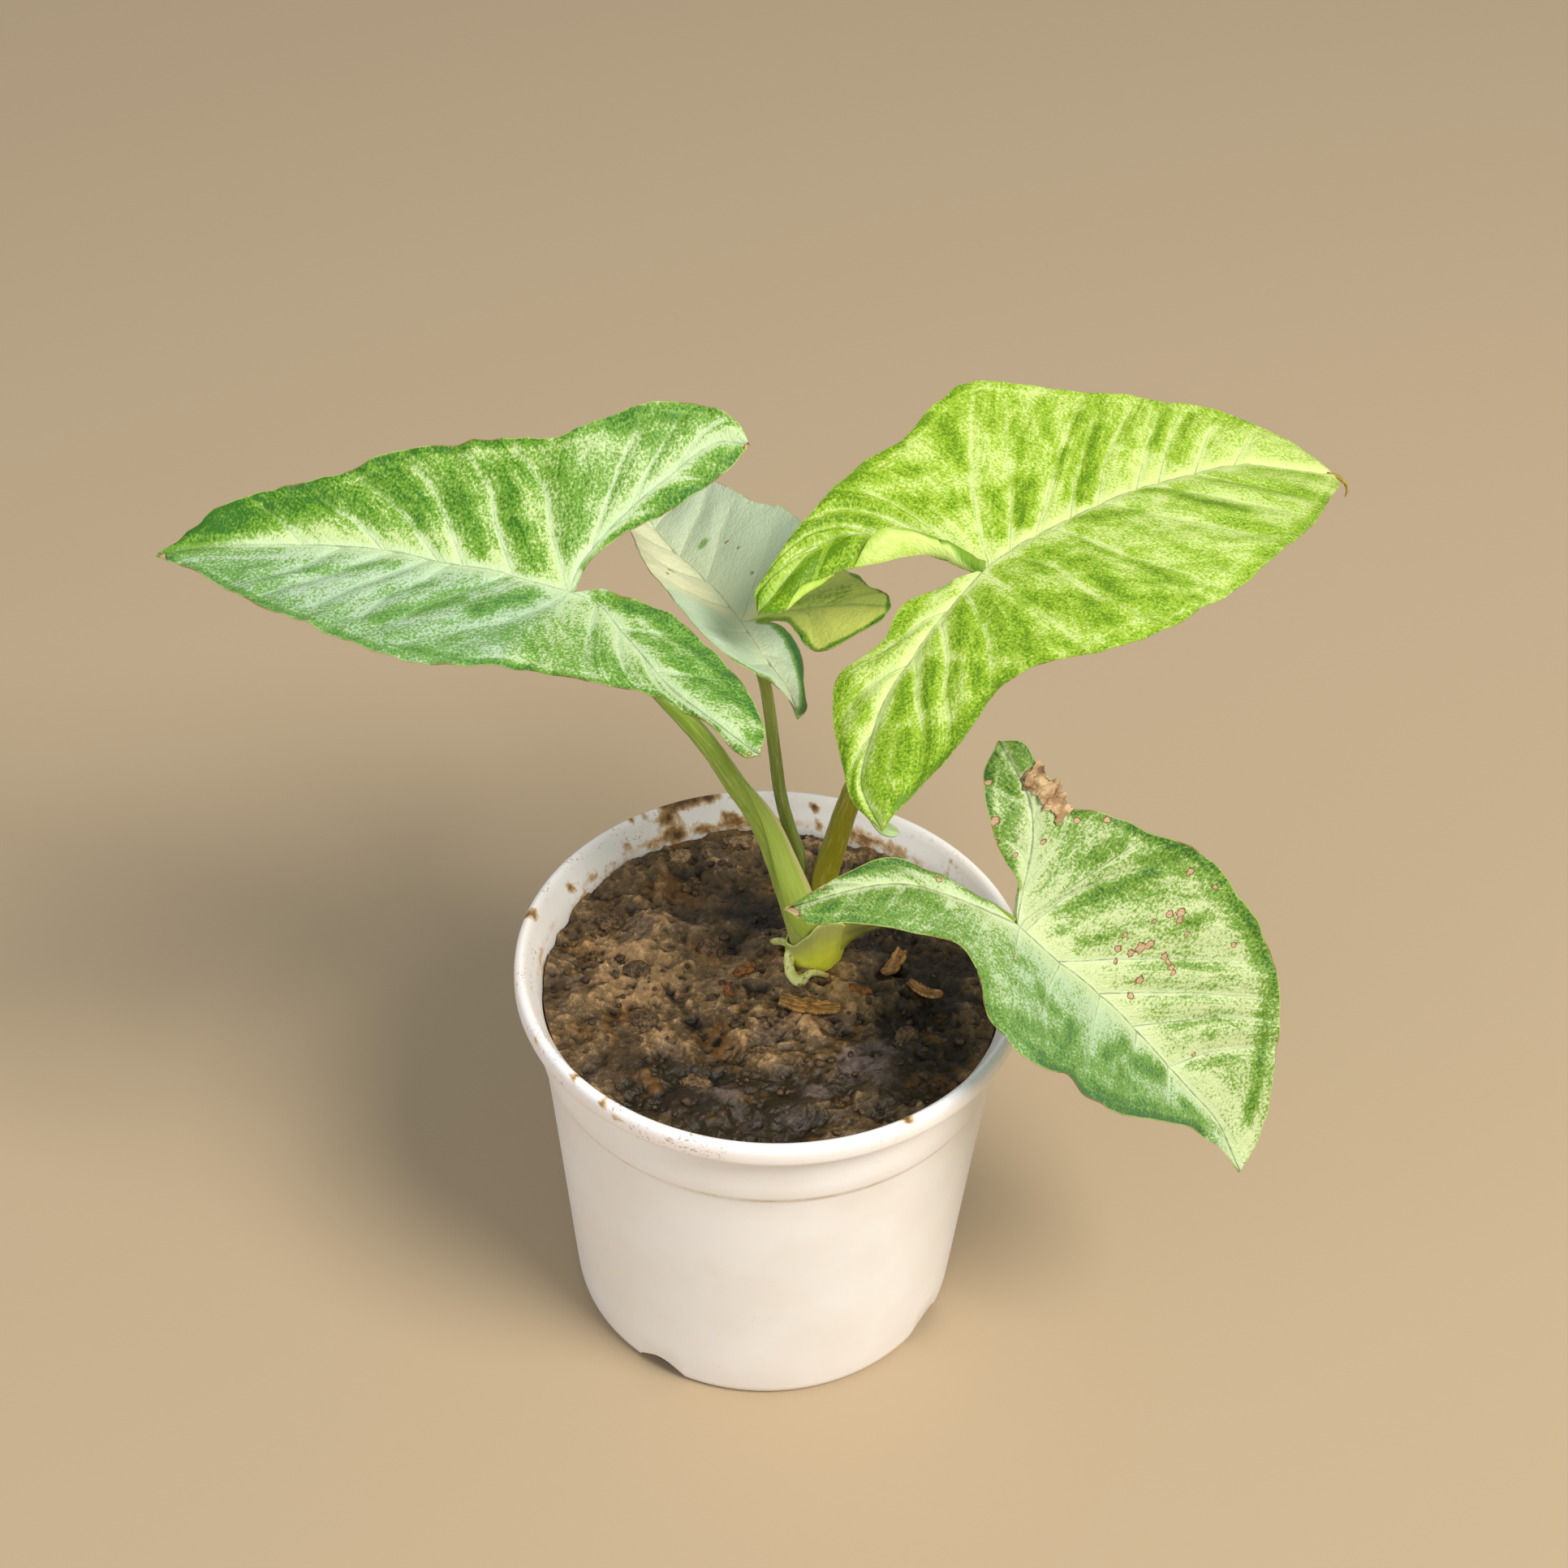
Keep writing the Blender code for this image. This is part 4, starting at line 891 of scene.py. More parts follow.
# %% Brush strokes of green
# from along, across; to along, across; width; strength
STROKES = {"leaf_blade_left": [
    (94, -3, 80, -11, 6, 1.3), (80, -12, 60, -18, 6, 1.1), (60, -18, 44, -21, 5, 0.8),
    (46, -21, 12, -25, 6, 0.5), (58, -10, 12, -10, 7, 0.26), (10, 18, -38, 30, 6, 0.4),
    (-5, -22, -28, -34, 7, 0.38), (60, 16, 16, 25, 4, 0.28), (10, 8, -4, 22, 7, 0.2),
    (90, 1, 68, 7, 6, 0.38), (93, -1, 73, -15, 5, 0.6), (86, -8, 70, -14, 4, 0.9),
    (78, -17, 58, -22, 3.5, 0.9), (58, -22, 38, -28, 2.5, 0.8), (38, -28, 20, -31, 2, 0.8),
    (20, -30, -1, -34, 1.8, 0.5), (61, -17, 49, -14, 4, 0.7), (50, -25, 37, -15, 4.5, 0.85),
    (45, -17, 36, -9, 3, 0.5), (33, -21, 23, -10, 4, 0.75), (20, -24, 10, -5, 4, 0.75),
    (7, -27, 1, -11, 4, 0.55), (-3, -35, -25, -40, 2.6, 0.8), (3, -23, -8, -23, 4, 0.45),
    (-7, -12, -19, -22, 3, 0.9), (-19, -22, -31, -32, 3.4, 0.95), (-12, -32, -19, -35, 3, 0.5),
    (86, 0, 68, -4, 2, 0.5), (74, 3, 55, -4, 1.2, 0.4), (59, 2, 40, -3, 1.6, 0.5),
    (39, 17, 23, 7, 2.2, 0.75), (18, 11, 8, 2, 2.4, 0.85), (28, 8, 14, -3, 2, 0.6),
    (39, 7, 31, 3, 1.6, 0.5), (84, 5, 37, 26, 1.6, 0.6), (37, 26, 10, 28, 1.6, 0.7),
    (11, 27, -10, 30, 1.6, 0.7), (25, 22, -8, 16, 5, 0.3), (-6, 2, -19, 4, 2.5, 1),
    (-19, 4, -35, 17, 2.6, 1), (-35, 17, -47, 31, 2.6, 1), (-48, 43, -49, 39, 3, 0.8),
    (-16, 11, -41, 28, 3, 0.75), (-13, 22, -20, 28, 3, 0.65), (-10, 30, -26, 32, 1.8, 0.8),
    (-26, 32, -41, 39, 1.8, 0.8)
], "leaf_blade_right": [
    (-10, 22, -40, 27, 6, 0.8), (-18, 26, -42, 27, 4, 1.5), (-11, 25, -24, 32, 5, 1.1),
    (-46, -15, -58, -25, 2.5, 0.75), (-55, -21, -61, -33, 3.4, 1.05),
    (-52, -14, -60, -26, 3, 0.95), (35, 44, 21, 39, 2, 0.7), (21, 39, -3, 36, 2, 0.8),
    (-3, 36, -14, 35, 3, 0.95), (26, 41, 16, 28, 3.5, 0.7), (35, 37, 30, 31, 3, 0.55),
    (16, 14, 10, 5, 3, 0.6), (42, 36, 29, 22, 3, 0.45), (25, 14, 16, 6, 3, 1),
    (46, 30, 40, 22, 2.2, 0.7), (37, 23, 32, 18, 2, 0.4), (41, 18, 33, 13, 2, 0.7),
    (53, 26, 47, 21, 2.5, 0.6), (53, 21, 33, 5, 3.4, 0.95), (62, 28, 54, 22, 3, 0.6),
    (69, 24, 57, 16, 2.5, 0.5), (76, 22, 63, 12, 2.5, 0.6), (81, 19, 64, 8, 2.5, 0.55),
    (87, 17, 96, 16, 3, 0.5), (-12, 32, -21, 24, 6, 0.9), (-32, 28, -37, 27, 5, 1),
    (-2, 26, 1, 21, 3, 0.7), (-2, 33, 6, 29, 3, 0.6), (2, 18, 10, 17, 3, 0.5),
    (5, 32, 11, 26, 3, 0.4), (26, -2, 39, -5, 3, 0.85), (45, 1, 56, -3, 2, 0.7),
    (53, -7, 60, -18, 3, 0.9), (68, -1, 76, -10, 3, 0.7), (79, 1, 99, -5, 2, 0.7),
    (55, -20, 62, -27, 3, 0.6), (78, -9, 91, -15, 3, 0.7), (8, -4, 8, -10, 3, 0.9),
    (13, -8, 15, -19, 3, 0.8), (1, -2, -1, -11, 2, 0.5), (-2, -14, 6, -32, 4, 0.7),
    (21, -6, 22, -16, 2, 0.5), (14, -20, 13, -29, 3, 0.8), (12, -30, 19, -35, 3, 0.8),
    (24, -21, 25, -27, 3, 0.75), (20, -28, 27, -33, 2.5, 0.5), (36, -24, 39, -30, 2.5, 0.4),
    (16, -38, 36, -38, 1.4, 0.6), (36, -38, 61, -30, 1.4, 0.6), (61, -30, 89, -17, 1.4, 0.6),
    (-10, -4, -20, -14, 2.5, 0.85), (-6, -6, -20, -19, 2.5, 0.7), (-7, -12, -16, -24, 2.5, 0.7),
    (-8, -18, -14, -31, 3.5, 0.7), (-19, -4, -26, -10, 2, 0.5), (-33, -12, -40, -17, 3, 0.85),
    (-28, -14, -35, -20, 2.4, 0.85), (-26, -18, -32, -23, 2, 0.6), (-23, -22, -28, -30, 2.5, 0.85),
    (-21, -29, -44, -34, 2.6, 1), (-44, -34, -56, -33, 2.6, 1), (-45, -16, -53, -24, 2.4, 0.8),
    (-44, -23, -50, -28, 2.4, 0.8), (-42, -26, -50, -33, 3, 0.8), (-57, -29, -60, -32, 3.5, 0.9),
    (-59, -23, -61, -30, 3, 0.9), (-40, 2, -52, -11, 1.8, 0.8), (-42, -5, -45, -12, 2.2, 0.6),
    (-58, -19, -60, -26, 2.2, 0.9), (-18, 3, -25, 0, 2.5, 0.5), (-10, -27, -3, -38, 2.5, 0.6),
    (-1, -37, 21, -42, 1.6, 0.6)
], "leaf_blade_front": [
    (-4, -14, -44, -28, 8, 0.34), (12, -20, 60, -12, 6, 0.34), (-22, -7, -46, -33, 3.5, 0.8),
    (-46, -36, -30, -22, 5, 0.75), (-30, -22, -10, -12, 5, 0.5), (-44, -30, -12, -6, 5, 0.35),
    (-10, -3, -27, -10, 5, 0.35), (-27, -10, -44, -30, 5, 0.5), (-50, -38, -42, -30, 4, 1.1),
    (16, -30, 34, -27, 3.2, 1.2), (34, -26, 52, -18, 3.4, 1.3), (52, -17, 66, -9, 3, 1.2),
    (0, 14, 20, 22, 8, 0.25), (5, 20, -24, 22, 6, 0.3), (40, 16, 70, 4, 6, 0.16),
    (10, -26, 55, -14, 4, 0.62), (-30, 26, -24, 26, 4.5, 1), (-28, 22, -21, 13, 1.6, 0.9),
    (-23, 24, -17, 18, 3.4, 0.85), (-18, 13, -9, 9, 1.4, 0.6), (-18, 16, -13, 12, 2, 0.7),
    (-6, 24, 2, 27, 2, 0.7), (2, 27, 12, 30, 2.4, 0.9), (12, 30, 21, 32, 3.2, 1),
    (21, 32, 33, 31, 3, 0.95), (33, 31, 47, 28, 2.4, 0.9), (47, 28, 57, 24, 2.2, 0.85),
    (57, 24, 66, 15, 2.2, 0.85), (66, 15, 73, 6, 1.8, 0.8), (73, 6, 76, 1, 1.8, 0.8),
    (3, 18, 7, 25, 3, 0.7), (13, 25, 23, 30, 2.4, 0.8), (11, 15, 18, 25, 2, 1.05),
    (8, 10, 11, 15, 2.2, 0.7), (10, 9, 16, 17, 2, 0.5), (15, 6, 22, 12, 2, 0.4),
    (32, 21, 35, 24, 2.2, 0.7), (31, 18, 34, 21, 2, 0.6), (30, 10, 45, 20, 2, 0.45),
    (37, 6, 47, 15, 2, 0.3), (43, 3, 55, 13, 1.6, 0.6), (56, 2, 63, 8, 1.4, 0.6),
    (-1, -28, 16, -31, 3, 0.85), (16, -31, 25, -26, 2.6, 1), (22, -16, 21, -26, 3.5, 0.9),
    (8, -26, 18, -22, 3.5, 0.8), (33, -15, 37, -7, 2.4, 0.9), (42, -9, 50, -5, 3.2, 1),
    (30, -25, 41, -22, 3, 0.95), (46, -18, 60, -11, 2.6, 1), (59, -7, 72, -5, 2.4, 0.85),
    (39, -15, 46, -15, 3, 0.8), (-1, -15, 7, -16, 3, 0.5), (1, -8, 6, -9, 2.4, 0.5),
    (11, -13, 16, -15, 3, 0.7), (-10, -13, -6, -14, 2.4, 0.4), (-43, -20, -33, -8, 2.4, 0.9),
    (-33, -7, -26, -3, 2.2, 0.9), (-26, -3, -21, -2, 1.6, 0.8), (-49, -37, -44, -27, 2.4, 0.8),
    (-45, -38, -29, -23, 2.2, 0.85), (-31, -16, -18, -11, 2.2, 0.7),
    (-23, -24, -10, -14, 2.2, 0.6), (-15, -2, -8, -1, 1.4, 0.6), (-4, -19, 0, -27, 2, 0.8)
], "leaf_blade_back": [
    (-5, -12, -11, -18, 4, 1.15), (-11, -14, -16, -18, 4, 0.7), (-10, 4, -36, 4, 6, 0.3),
    (-3, -4.6, -7, -6.4, 1.1, 1.6), (-7, -6.4, -14, -6.4, 1.9, 2.1),
    (-14, -6.4, -22, -4.6, 2.1, 2.3), (-22, -4.6, -32, -0.6, 1.9, 2.2),
    (-32, -0.6, -41, 4.2, 2.0, 2.2), (-41, 4.2, -46, 9, 2.6, 2.1), (-29, 8, -42, 8, 1.2, 1.5),
    (-25, 17, -28, 8, 1.0, 1.1), (30, -4, 29, -3, 1.4, 1.2), (-7, -22.6, -20, -24.4, 0.8, 1.4),
    (-20, -24.4, -25, -22, 0.9, 1.7), (-25, -22, -24.4, -15, 0.9, 1.6),
    (-24.4, -15, -21, -8, 0.7, 1.4), (-21, -8, -12, -7.5, 0.7, 1.3), (33, -15, 25, -16, 1.4, 0.4),
    (24, -17, 18, -19, 1.4, 0.5), (39, 8, 6, 18, 0.8, 0.35), (6, 18, -12, 19, 0.8, 0.3),
    (-16, 21, -25, 17, 0.8, 0.4)
]}

# Brown blemishes: along, across and radius.
BLEMISHES = {
    "leaf_blade_left": [(94.5, 0, 1.6), (-34, -34, 1.8), (-49, 45, 0.8)],
    "leaf_blade_right": [(107, -3, 1.2)],
    "leaf_blade_front": [
        (27.5, 12.7, 1.7), (26.4, 10.8, 1.2), (32.3, 7.8, 1.3), (33.2, 4.5, 1.3), (33.4, 14.5, 1.1),
        (36.4, 13.5, 1.0), (35.0, 14.1, 1.0), (37.6, 12.9, 0.9), (28.7, 14.2, 1.3), (29.3, 22.1, 1.5),
        (30.3, 20.9, 1.1), (27.4, 20.6, 1.2), (25.6, 17.8, 0.9),
        (23.3, 9.8, 1.2), (25, 7.7, 0.9), (22.3, 12.4, 0.9), (33.8, 19.9, 0.9), (24.6, 29.2, 1.2),
        (31.4, 29.6, 0.9), (44.5, 24.2, 0.9), (2.3, -10, 1.2), (-25.7, 19.4, 1.1),
        (-19, 13.7, 1.5), (-15.5, 10.9, 1.0), (-10.2, 11, 0.9), (-7.2, 16, 0.9),
        (-4.3, 23.2, 1.1), (0.9, 26.5, 1.2), (-50.4, -39.5, 2.6), (-46.1, -27.1, 1.5),
        (-21.9, -4.0, 1.2), (-19.5, 24.6, 2.2), (-15.6, 24.4, 2.2), (-11.5, 24.0, 2.4),
        (-7.5, 24.2, 1.6), (54.9, 4.0, 0.8)],
    "leaf_blade_back": [(19.5, 9.3, 1.5), (25.9, -7.6, 0.6), (21.2, -8.2, 0.6), (12.1, -7.6, 0.6),
                        (16, 12, 0.8)],
}

# %% [markdown]
# The flat drawing is carried onto its bent sheet by adding a height: the fold along the midrib,
# the arch, the droop of each half and a slight twist. The midrib's own bow bends the crease.

# %% From the flat drawing to the bent sheet


def sheet_frame(leaf):
    """Unit vectors along the midrib, across it and off the blade's upper face."""
    heading, pitch, roll = (math.radians(leaf[key]) for key in ("heading", "pitch", "roll"))
    along = np.array([math.cos(heading) * math.cos(pitch), math.sin(heading) * math.cos(pitch),
                      math.sin(pitch)])
    level = np.array([-math.sin(heading), math.cos(heading), 0])
    across = math.cos(roll) * level + math.sin(roll) * np.cross(along, level)
    return along, across, np.cross(along, across)


def blade_rise(leaf, along, across):
    share = np.clip(along / leaf["tip"][0], 0, 1)
    off_rib = across - leaf["bow"] * 4 * share * (1 - share) - leaf["side"] * share ** 2
    plus_side = off_rib > 0
    fold = np.where(plus_side, *leaf["fold"]) * (np.sqrt(off_rib ** 2 + CREASE ** 2) - CREASE)
    droop = np.where(plus_side, *leaf["droop"]) * across ** 2 / 2
    arch = np.where(along > 0, *leaf["arch"]) * along ** 2 / 2
    return fold - droop - arch + leaf["twist"] * along * across


def bend(leaf, flat, lift=0.0):
    """Carry flat (along, across) points onto the bent blade, lifted off it a little."""
    along, across, normal = sheet_frame(leaf)
    flat = np.asarray(flat, float)
    rise = blade_rise(leaf, flat[..., 0], flat[..., 1]) + lift
    return (np.array(leaf["joint"]) + flat[..., :1] * along + flat[..., 1:2] * across
            + rise[..., None] * normal)


# %% [markdown]
# A leaf is built of three grids: the part ahead of the joint and two basal lobes. Each grid has
# a centre line, the midrib or a lobe's own vein, and runs from there to the margin on both
# sides. Along with its place, every point keeps what the material needs: its distance to the
# centre line and to the margin, and a count of side veins that is a whole number on each vein.

# %% Measures on the flat leaf
AHEAD_ROWS, LOBE_ROWS, HALF_COLUMNS, LOBE_COLUMNS = 170, 90, 44, 26
# above 1, the columns of a grid crowd towards its centre line
CROWDING = 1.2


def distance_to(points, line):
    """Shortest distance from each point to a line of points."""
    starts, steps = line[:-1], np.diff(line, axis=0)
    away = points[..., None, :] - starts
    share = np.clip((away * steps).sum(-1) / np.maximum((steps ** 2).sum(-1), 1e-9), 0, 1)
    return np.sqrt(((away - share[..., None] * steps) ** 2).sum(-1)).min(-1)


def reach_at(vein, across):
    """How far along the leaf a vein lies, at each distance across; it runs on past its ends."""
    lengths, places = np.array(vein, float).T
    reach = np.interp(across, places, lengths)
    first = (lengths[1] - lengths[0]) / (places[1] - places[0])
    last = (lengths[-1] - lengths[-2]) / (places[-1] - places[-2])
    return (reach + np.minimum(across - places[0], 0) * first
            + np.maximum(across - places[-1], 0) * last)


def count_veins(lines, where, beyond):
    """Count veins: -0.5 on the first line, 0 on the next, then 1, 2 and so on."""
    steps = np.arange(len(lines)).reshape(-1, 1, 1)
    lines = np.maximum.accumulate(np.stack(lines) + 1e-3 * beyond * steps, axis=0)
    count = np.full(np.broadcast(where, lines[0]).shape, -0.5)
    for k, (start, end) in enumerate(zip(lines, lines[1:])):
        count = count + np.clip((where - start) / np.maximum(end - start, 0.03 * beyond),
                                0, 1) * (1 if k else 0.5)
    return count + np.clip((where - lines[-1]) / beyond, 0, 0.5)


def vein_gap(count, flat):
    """Millimetres from vein to vein, from how fast the count changes over the leaf."""
    (row_c, col_c), (row_p, col_p) = np.gradient(count), np.gradient(flat, axis=(0, 1))
    area = row_p[..., 0] * col_p[..., 1] - row_p[..., 1] * col_p[..., 0]
    area = np.where(abs(area) < 1e-4, 1e-4, area)
    slope_along = (row_c * col_p[..., 1] - col_c * row_p[..., 1]) / area
    slope_across = (col_c * row_p[..., 0] - row_c * col_p[..., 0]) / area
    return np.clip(1 / np.maximum(np.hypot(slope_along, slope_across), 1e-3), 2.0, 22.0)


def half_sheet(centre, outer, steps):
    share = np.linspace(0, 1, steps + 1)[None, :, None] ** CROWDING
    return centre[:, None] * (1 - share) + outer[:, None] * share


# %% [markdown]
# Each half of a grid is drawn on its own, from its centre line out to its margin. A half ahead
# of the joint runs from the midrib, and each lobe has an outer and an inner half that share the
# lobe's own vein. The vein count goes on from one part to the next.

# %% The three grids of one leaf


def leaf_halves(name, leaf):
    """Yield each half grid: its flat points, vein count, sign of its side and its part."""
    veins = VEINS[name]
    midrib = smooth_line(leaf["midrib"], AHEAD_ROWS)
    for side, sign in (("plus", 1), ("minus", -1)):
        shoulder, lobe_tip = leaf["shoulder_" + side], leaf["lobe_tip_" + side]
        margin = smooth_line([leaf["tip"]] + leaf["outer_" + side] + [shoulder]
                             + leaf["lobe_" + side][:1], 600)
        reached = np.argmin(np.linalg.norm(margin - np.array(shoulder), axis=1))
        ahead = smooth_line(margin[:reached + 1:6], AHEAD_ROWS)
        ahead[-1] = shoulder
        flat = half_sheet(midrib, ahead, HALF_COLUMNS)
        across = sign * flat[..., 1]
        rung = shoulder[0] * np.clip(across, 0, None) / abs(shoulder[1])
        lines = [rung] + [reach_at([(u, sign * v) for u, v in vein], across)
                          for vein in veins[side]]
        yield "ahead", side, sign, sign, flat, count_veins(lines, flat[..., 0], 12.0)

        vein = smooth_line([(0, 0)] + leaf["vein_" + side] + [lobe_tip], LOBE_ROWS)
        outer = smooth_line([shoulder] + leaf["lobe_" + side] + [lobe_tip], LOBE_ROWS)
        inner = smooth_line([lobe_tip] + leaf["inner_" + side] + [(0, 0)], LOBE_ROWS)[::-1]
        down = np.linspace(0, 1, LOBE_ROWS)[:, None]
        for edge, steps, way, key in ((outer, HALF_COLUMNS, sign, "outer"),
                                      (inner, LOBE_COLUMNS, -sign, "inner")):
            flat = half_sheet(vein, edge, steps)
            out = np.linspace(0, 1, steps + 1)[None, :] ** CROWDING
            lines = [0 * out * down] + [start + (end - start) * out + 0 * down
                                        for start, end in veins["lobe_" + side][key]]
            yield "lobe", side, sign, way, flat, -1 - count_veins(lines, down + 0 * out, 0.25)


def outline_of(leaf):
    """The leaf's margin as one dense line, open where its stalk joins it."""
    lines = []
    for side in ("plus", "minus"):
        line = smooth_line([leaf["tip"]] + leaf["outer_" + side] + [leaf["shoulder_" + side]]
                           + leaf["lobe_" + side] + [leaf["lobe_tip_" + side]], 160)
        inner = smooth_line([leaf["lobe_tip_" + side]] + leaf["inner_" + side], 60)
        lines.append(np.vstack([line, inner]))
    return np.vstack([lines[0][::-1], lines[1]])


def strokes_at(flat, strokes):
    """The strongest brush stroke at each point of the flat leaf."""
    cover = np.zeros(flat.shape[:2])
    for u0, v0, u1, v1, width, strength in strokes:
        near = distance_to(flat, np.array([[u0, v0], [u1, v1]], float)) / (1.1 * width)
        cover = np.maximum(cover, 0.85 * strength * np.exp(-near ** 2))
    return cover


def blemishes_at(flat, places):
    found = np.zeros(flat.shape[:2])
    for u, v, radius in places:
        near = np.hypot(flat[..., 0] - u, flat[..., 1] - v) / (1.12 * radius)
        found = np.maximum(found, 1 - near)
    return found


# %% [markdown]
# Seen closely, a blade isn't smooth: its veins are sunk, the flesh between them swells a
# little, and the margin waves. These go into the mesh itself, so they show in outline and in
# the light. A blade is also thin at its margin and thick along its ribs, most of all at the
# stalk, so every point keeps a share of the full thickness.

# %% Half grids with their values
SINK, RIB_SINK, SWELL = 0.40, 0.60, 0.75
# shares of the full thickness: at the margin, what is added 2 mm inside it, and on a rib
MARGIN_SHARE, FLESH_SHARE = 0.09, 0.08
KEEL_SHARE = {"ahead": 0.83, "lobe": 0.50}


def rib_lines(leaf):
    """The midrib and the two lobes' own veins, each from the joint out."""
    lobes = [[(0, 0)] + leaf["vein_" + side] + [leaf["lobe_tip_" + side]]
             for side in ("plus", "minus")]
    return [smooth_line(line, 60) for line in (leaf["midrib"], *lobes)]


def painted_light_at(leaf, flat, sign, painted_light_tones):
    """How much light is painted on the green: cool sky sheen and shade above zero, warm light shining
    through below; it changes gently where a lobe starts.
    """
    shoulder = leaf["shoulder_plus" if sign > 0 else "shoulder_minus"]
    past = flat[..., 0] - shoulder[0] * np.abs(flat[..., 1] / shoulder[1])
    ahead, lobe = (painted_light_tones[part][0 if sign > 0 else 1] for part in ("ahead", "lobe"))
    return lobe + (ahead - lobe) * np.clip(0.5 + past / 8, 0, 1)


def half_values(name, leaf, part, sign, way, flat, count, painted_light_tones):
    rib = np.min([distance_to(flat, line) for line in rib_lines(leaf)], axis=0)
    edge = distance_to(flat, outline_of(leaf))
    gap = vein_gap(count, flat)
    if part == "lobe" and name in ("leaf_blade_left", "leaf_blade_front"):
        gap = 1.7 * gap
    inward = edge / np.maximum(edge + rib, 1e-3)
    near_vein = abs(count - np.round(count)) * gap
    relief = (-SINK * np.exp(-(near_vein / 0.9) ** 2) * inward ** 0.6
              - RIB_SINK * np.exp(-(rib / 1.3) ** 2)
              + SWELL * np.sin(np.pi * count) ** 2 * np.clip(4 * inward * (1 - inward), 0, 1))
    settled = np.clip(np.hypot(flat[..., 0], flat[..., 1]) / 12, 0, 1)
    relief = settled * relief - (1 - settled) * RIB_SINK
    plane = np.concatenate([flat, np.zeros((*flat.shape[:2], 1))], axis=2)
    wave = leaf.get("wave", 1.5) * settled ** 2 * (1 - inward) ** 2
    relief += wave * noise_at(plane, 9.0, 2, leaf["heading"])
    relief += 0.12 * noise_at(plane, 2.4, 3, leaf["heading"] + 5)
    travel = np.linspace(0, 1, len(flat))[:, None]
    own_rib = distance_to(flat, flat[:, 0])
    keel = (KEEL_SHARE[part] * np.exp(-(own_rib / 1.3) ** 2)
            * ((1 - travel) if part == "lobe" else travel))
    thick = MARGIN_SHARE + FLESH_SHARE * np.clip(edge / 2, 0, 1) + keel
    side_painted_light = painted_light_at(leaf, flat, sign, painted_light_tones)
    by_rib = np.exp(-rib / 2.5)
    painted_light = side_painted_light * (1 - by_rib) + np.minimum(side_painted_light, 0.25) * by_rib
    return dict(points=bend(leaf, flat, relief), rib=way * rib, edge=edge, veins=count, gap=gap,
                cover=strokes_at(flat, STROKES[name]), painted_light=painted_light, thick=thick,
                spot=blemishes_at(flat, BLEMISHES[name]), flat=plane)


def join_halves(first, second):
    """Two halves that share their centre line, made one grid; the first is turned round."""
    return {key: np.concatenate([first[key][:, :0:-1], second[key]], axis=1) for key in first}


# %% [markdown]
# On the lime leaf the inner margin of one lobe rolls up, so a strip of its pale underside
# stands in view. The strip is extra columns of the same grid, that rise from the margin and
# lean back over the blade.

# %% The rolled margin
ROLLS = {"leaf_blade_right": [(-21.0, 0.5, 7.6), (-38.0, -25.0, 1.6)]}
ROLL_COLUMNS = 12


def add_roll(name, leaf, values):
    """Extra columns in front of a lobe grid, rolled up from its inner margin."""
    margin = values["flat"][:, 0, :2]
    height = np.zeros(len(margin))
    for start, end, most in ROLLS[name]:
        share = np.clip((margin[:, 0] - start) / (end - start), 0, 1)
        height += most * np.sin(np.pi * share ** 0.9) ** 1.25
    share = np.linspace(1, 0, ROLL_COLUMNS + 1)[None, :-1]
    up = height[:, None] * share
    _, across, normal = sheet_frame(leaf)
    lean = np.radians(8 + 42 * share)
    foot = values["points"][:, :1]
    rolled = (foot + (up * np.cos(lean))[..., None] * normal
              + (up * np.sin(lean) * 0.9)[..., None] * across)
    longer = {}
    for key, value in values.items():
        first = np.repeat(value[:, :1], ROLL_COLUMNS, axis=1)
        longer[key] = np.concatenate([rolled if key == "points" else first, value], axis=1)
    longer["rib"][:, :ROLL_COLUMNS] -= up
    longer["flat"][:, :ROLL_COLUMNS, 1] -= up
    longer["edge"][:, :ROLL_COLUMNS] = height[:, None] - up
    return longer


# %% [markdown]
# The half grids are joined in pairs, then the three grids into one sheet, and Solidify gives it
# flesh, downwards from the upper face and as thick as each point's share says. The underside
# takes the second material. A smoothing angle keeps the thin margin crisp.

# %% Build a leaf
# painted light on each half, ahead of the joint and on the lobes: above zero the cool tint of
# sky sheen and shade, below zero the warm tint of light shining through
PAINTED_LIGHT_TONES = {"leaf_blade_left": dict(ahead=(1.0, 0.10), lobe=(0.45, 0.30)),
            "leaf_blade_right": dict(ahead=(0.0, 0.10), lobe=(0.0, 0.05)),
            "leaf_blade_front": dict(ahead=(0.25, 0.95), lobe=(0.35, 0.70)),
            "leaf_blade_back": dict(ahead=(0.0, 0.45), lobe=(0.55, -1.0))}
FULL_THICKNESS = 2.4


def build_leaf(name, leaf, piece_name, slot, materials):
    made = {}
    for part, side, sign, way, flat, count in leaf_halves(name, leaf):
        key = (part, side) if part == "lobe" else (part,)
        made.setdefault(key, {})[way] = half_values(name, leaf, part, sign, way, flat, count,
                                                    PAINTED_LIGHT_TONES[name])
    sheets = []
    for key, halves in made.items():
        values = join_halves(halves[-1], halves[1])
        if name in ROLLS and key == ("lobe", "plus"):
            values = add_roll(name, leaf, values)
        sheets.append(grid_sheet(piece_name, values.pop("points"), **values))
    blade = join(piece_name, sheets, 0.012)
    for material in materials:
        blade.data.materials.append(material)
    group = blade.vertex_groups.new(name="thick")
    for index, item in enumerate(blade.data.attributes["thick"].data):
        group.add([index], min(1.0, item.value), "REPLACE")
    shell = blade.modifiers.new("flesh", "SOLIDIFY")
    shell.thickness = FULL_THICKNESS * MM
    shell.offset = -1
    shell.vertex_group = "thick"
    shell.material_offset = 1
    apply_modifiers(blade)
    pick(blade)
    bpy.ops.object.shade_smooth_by_angle(angle=math.radians(60))
    hand_over(blade, slot, (), [name])
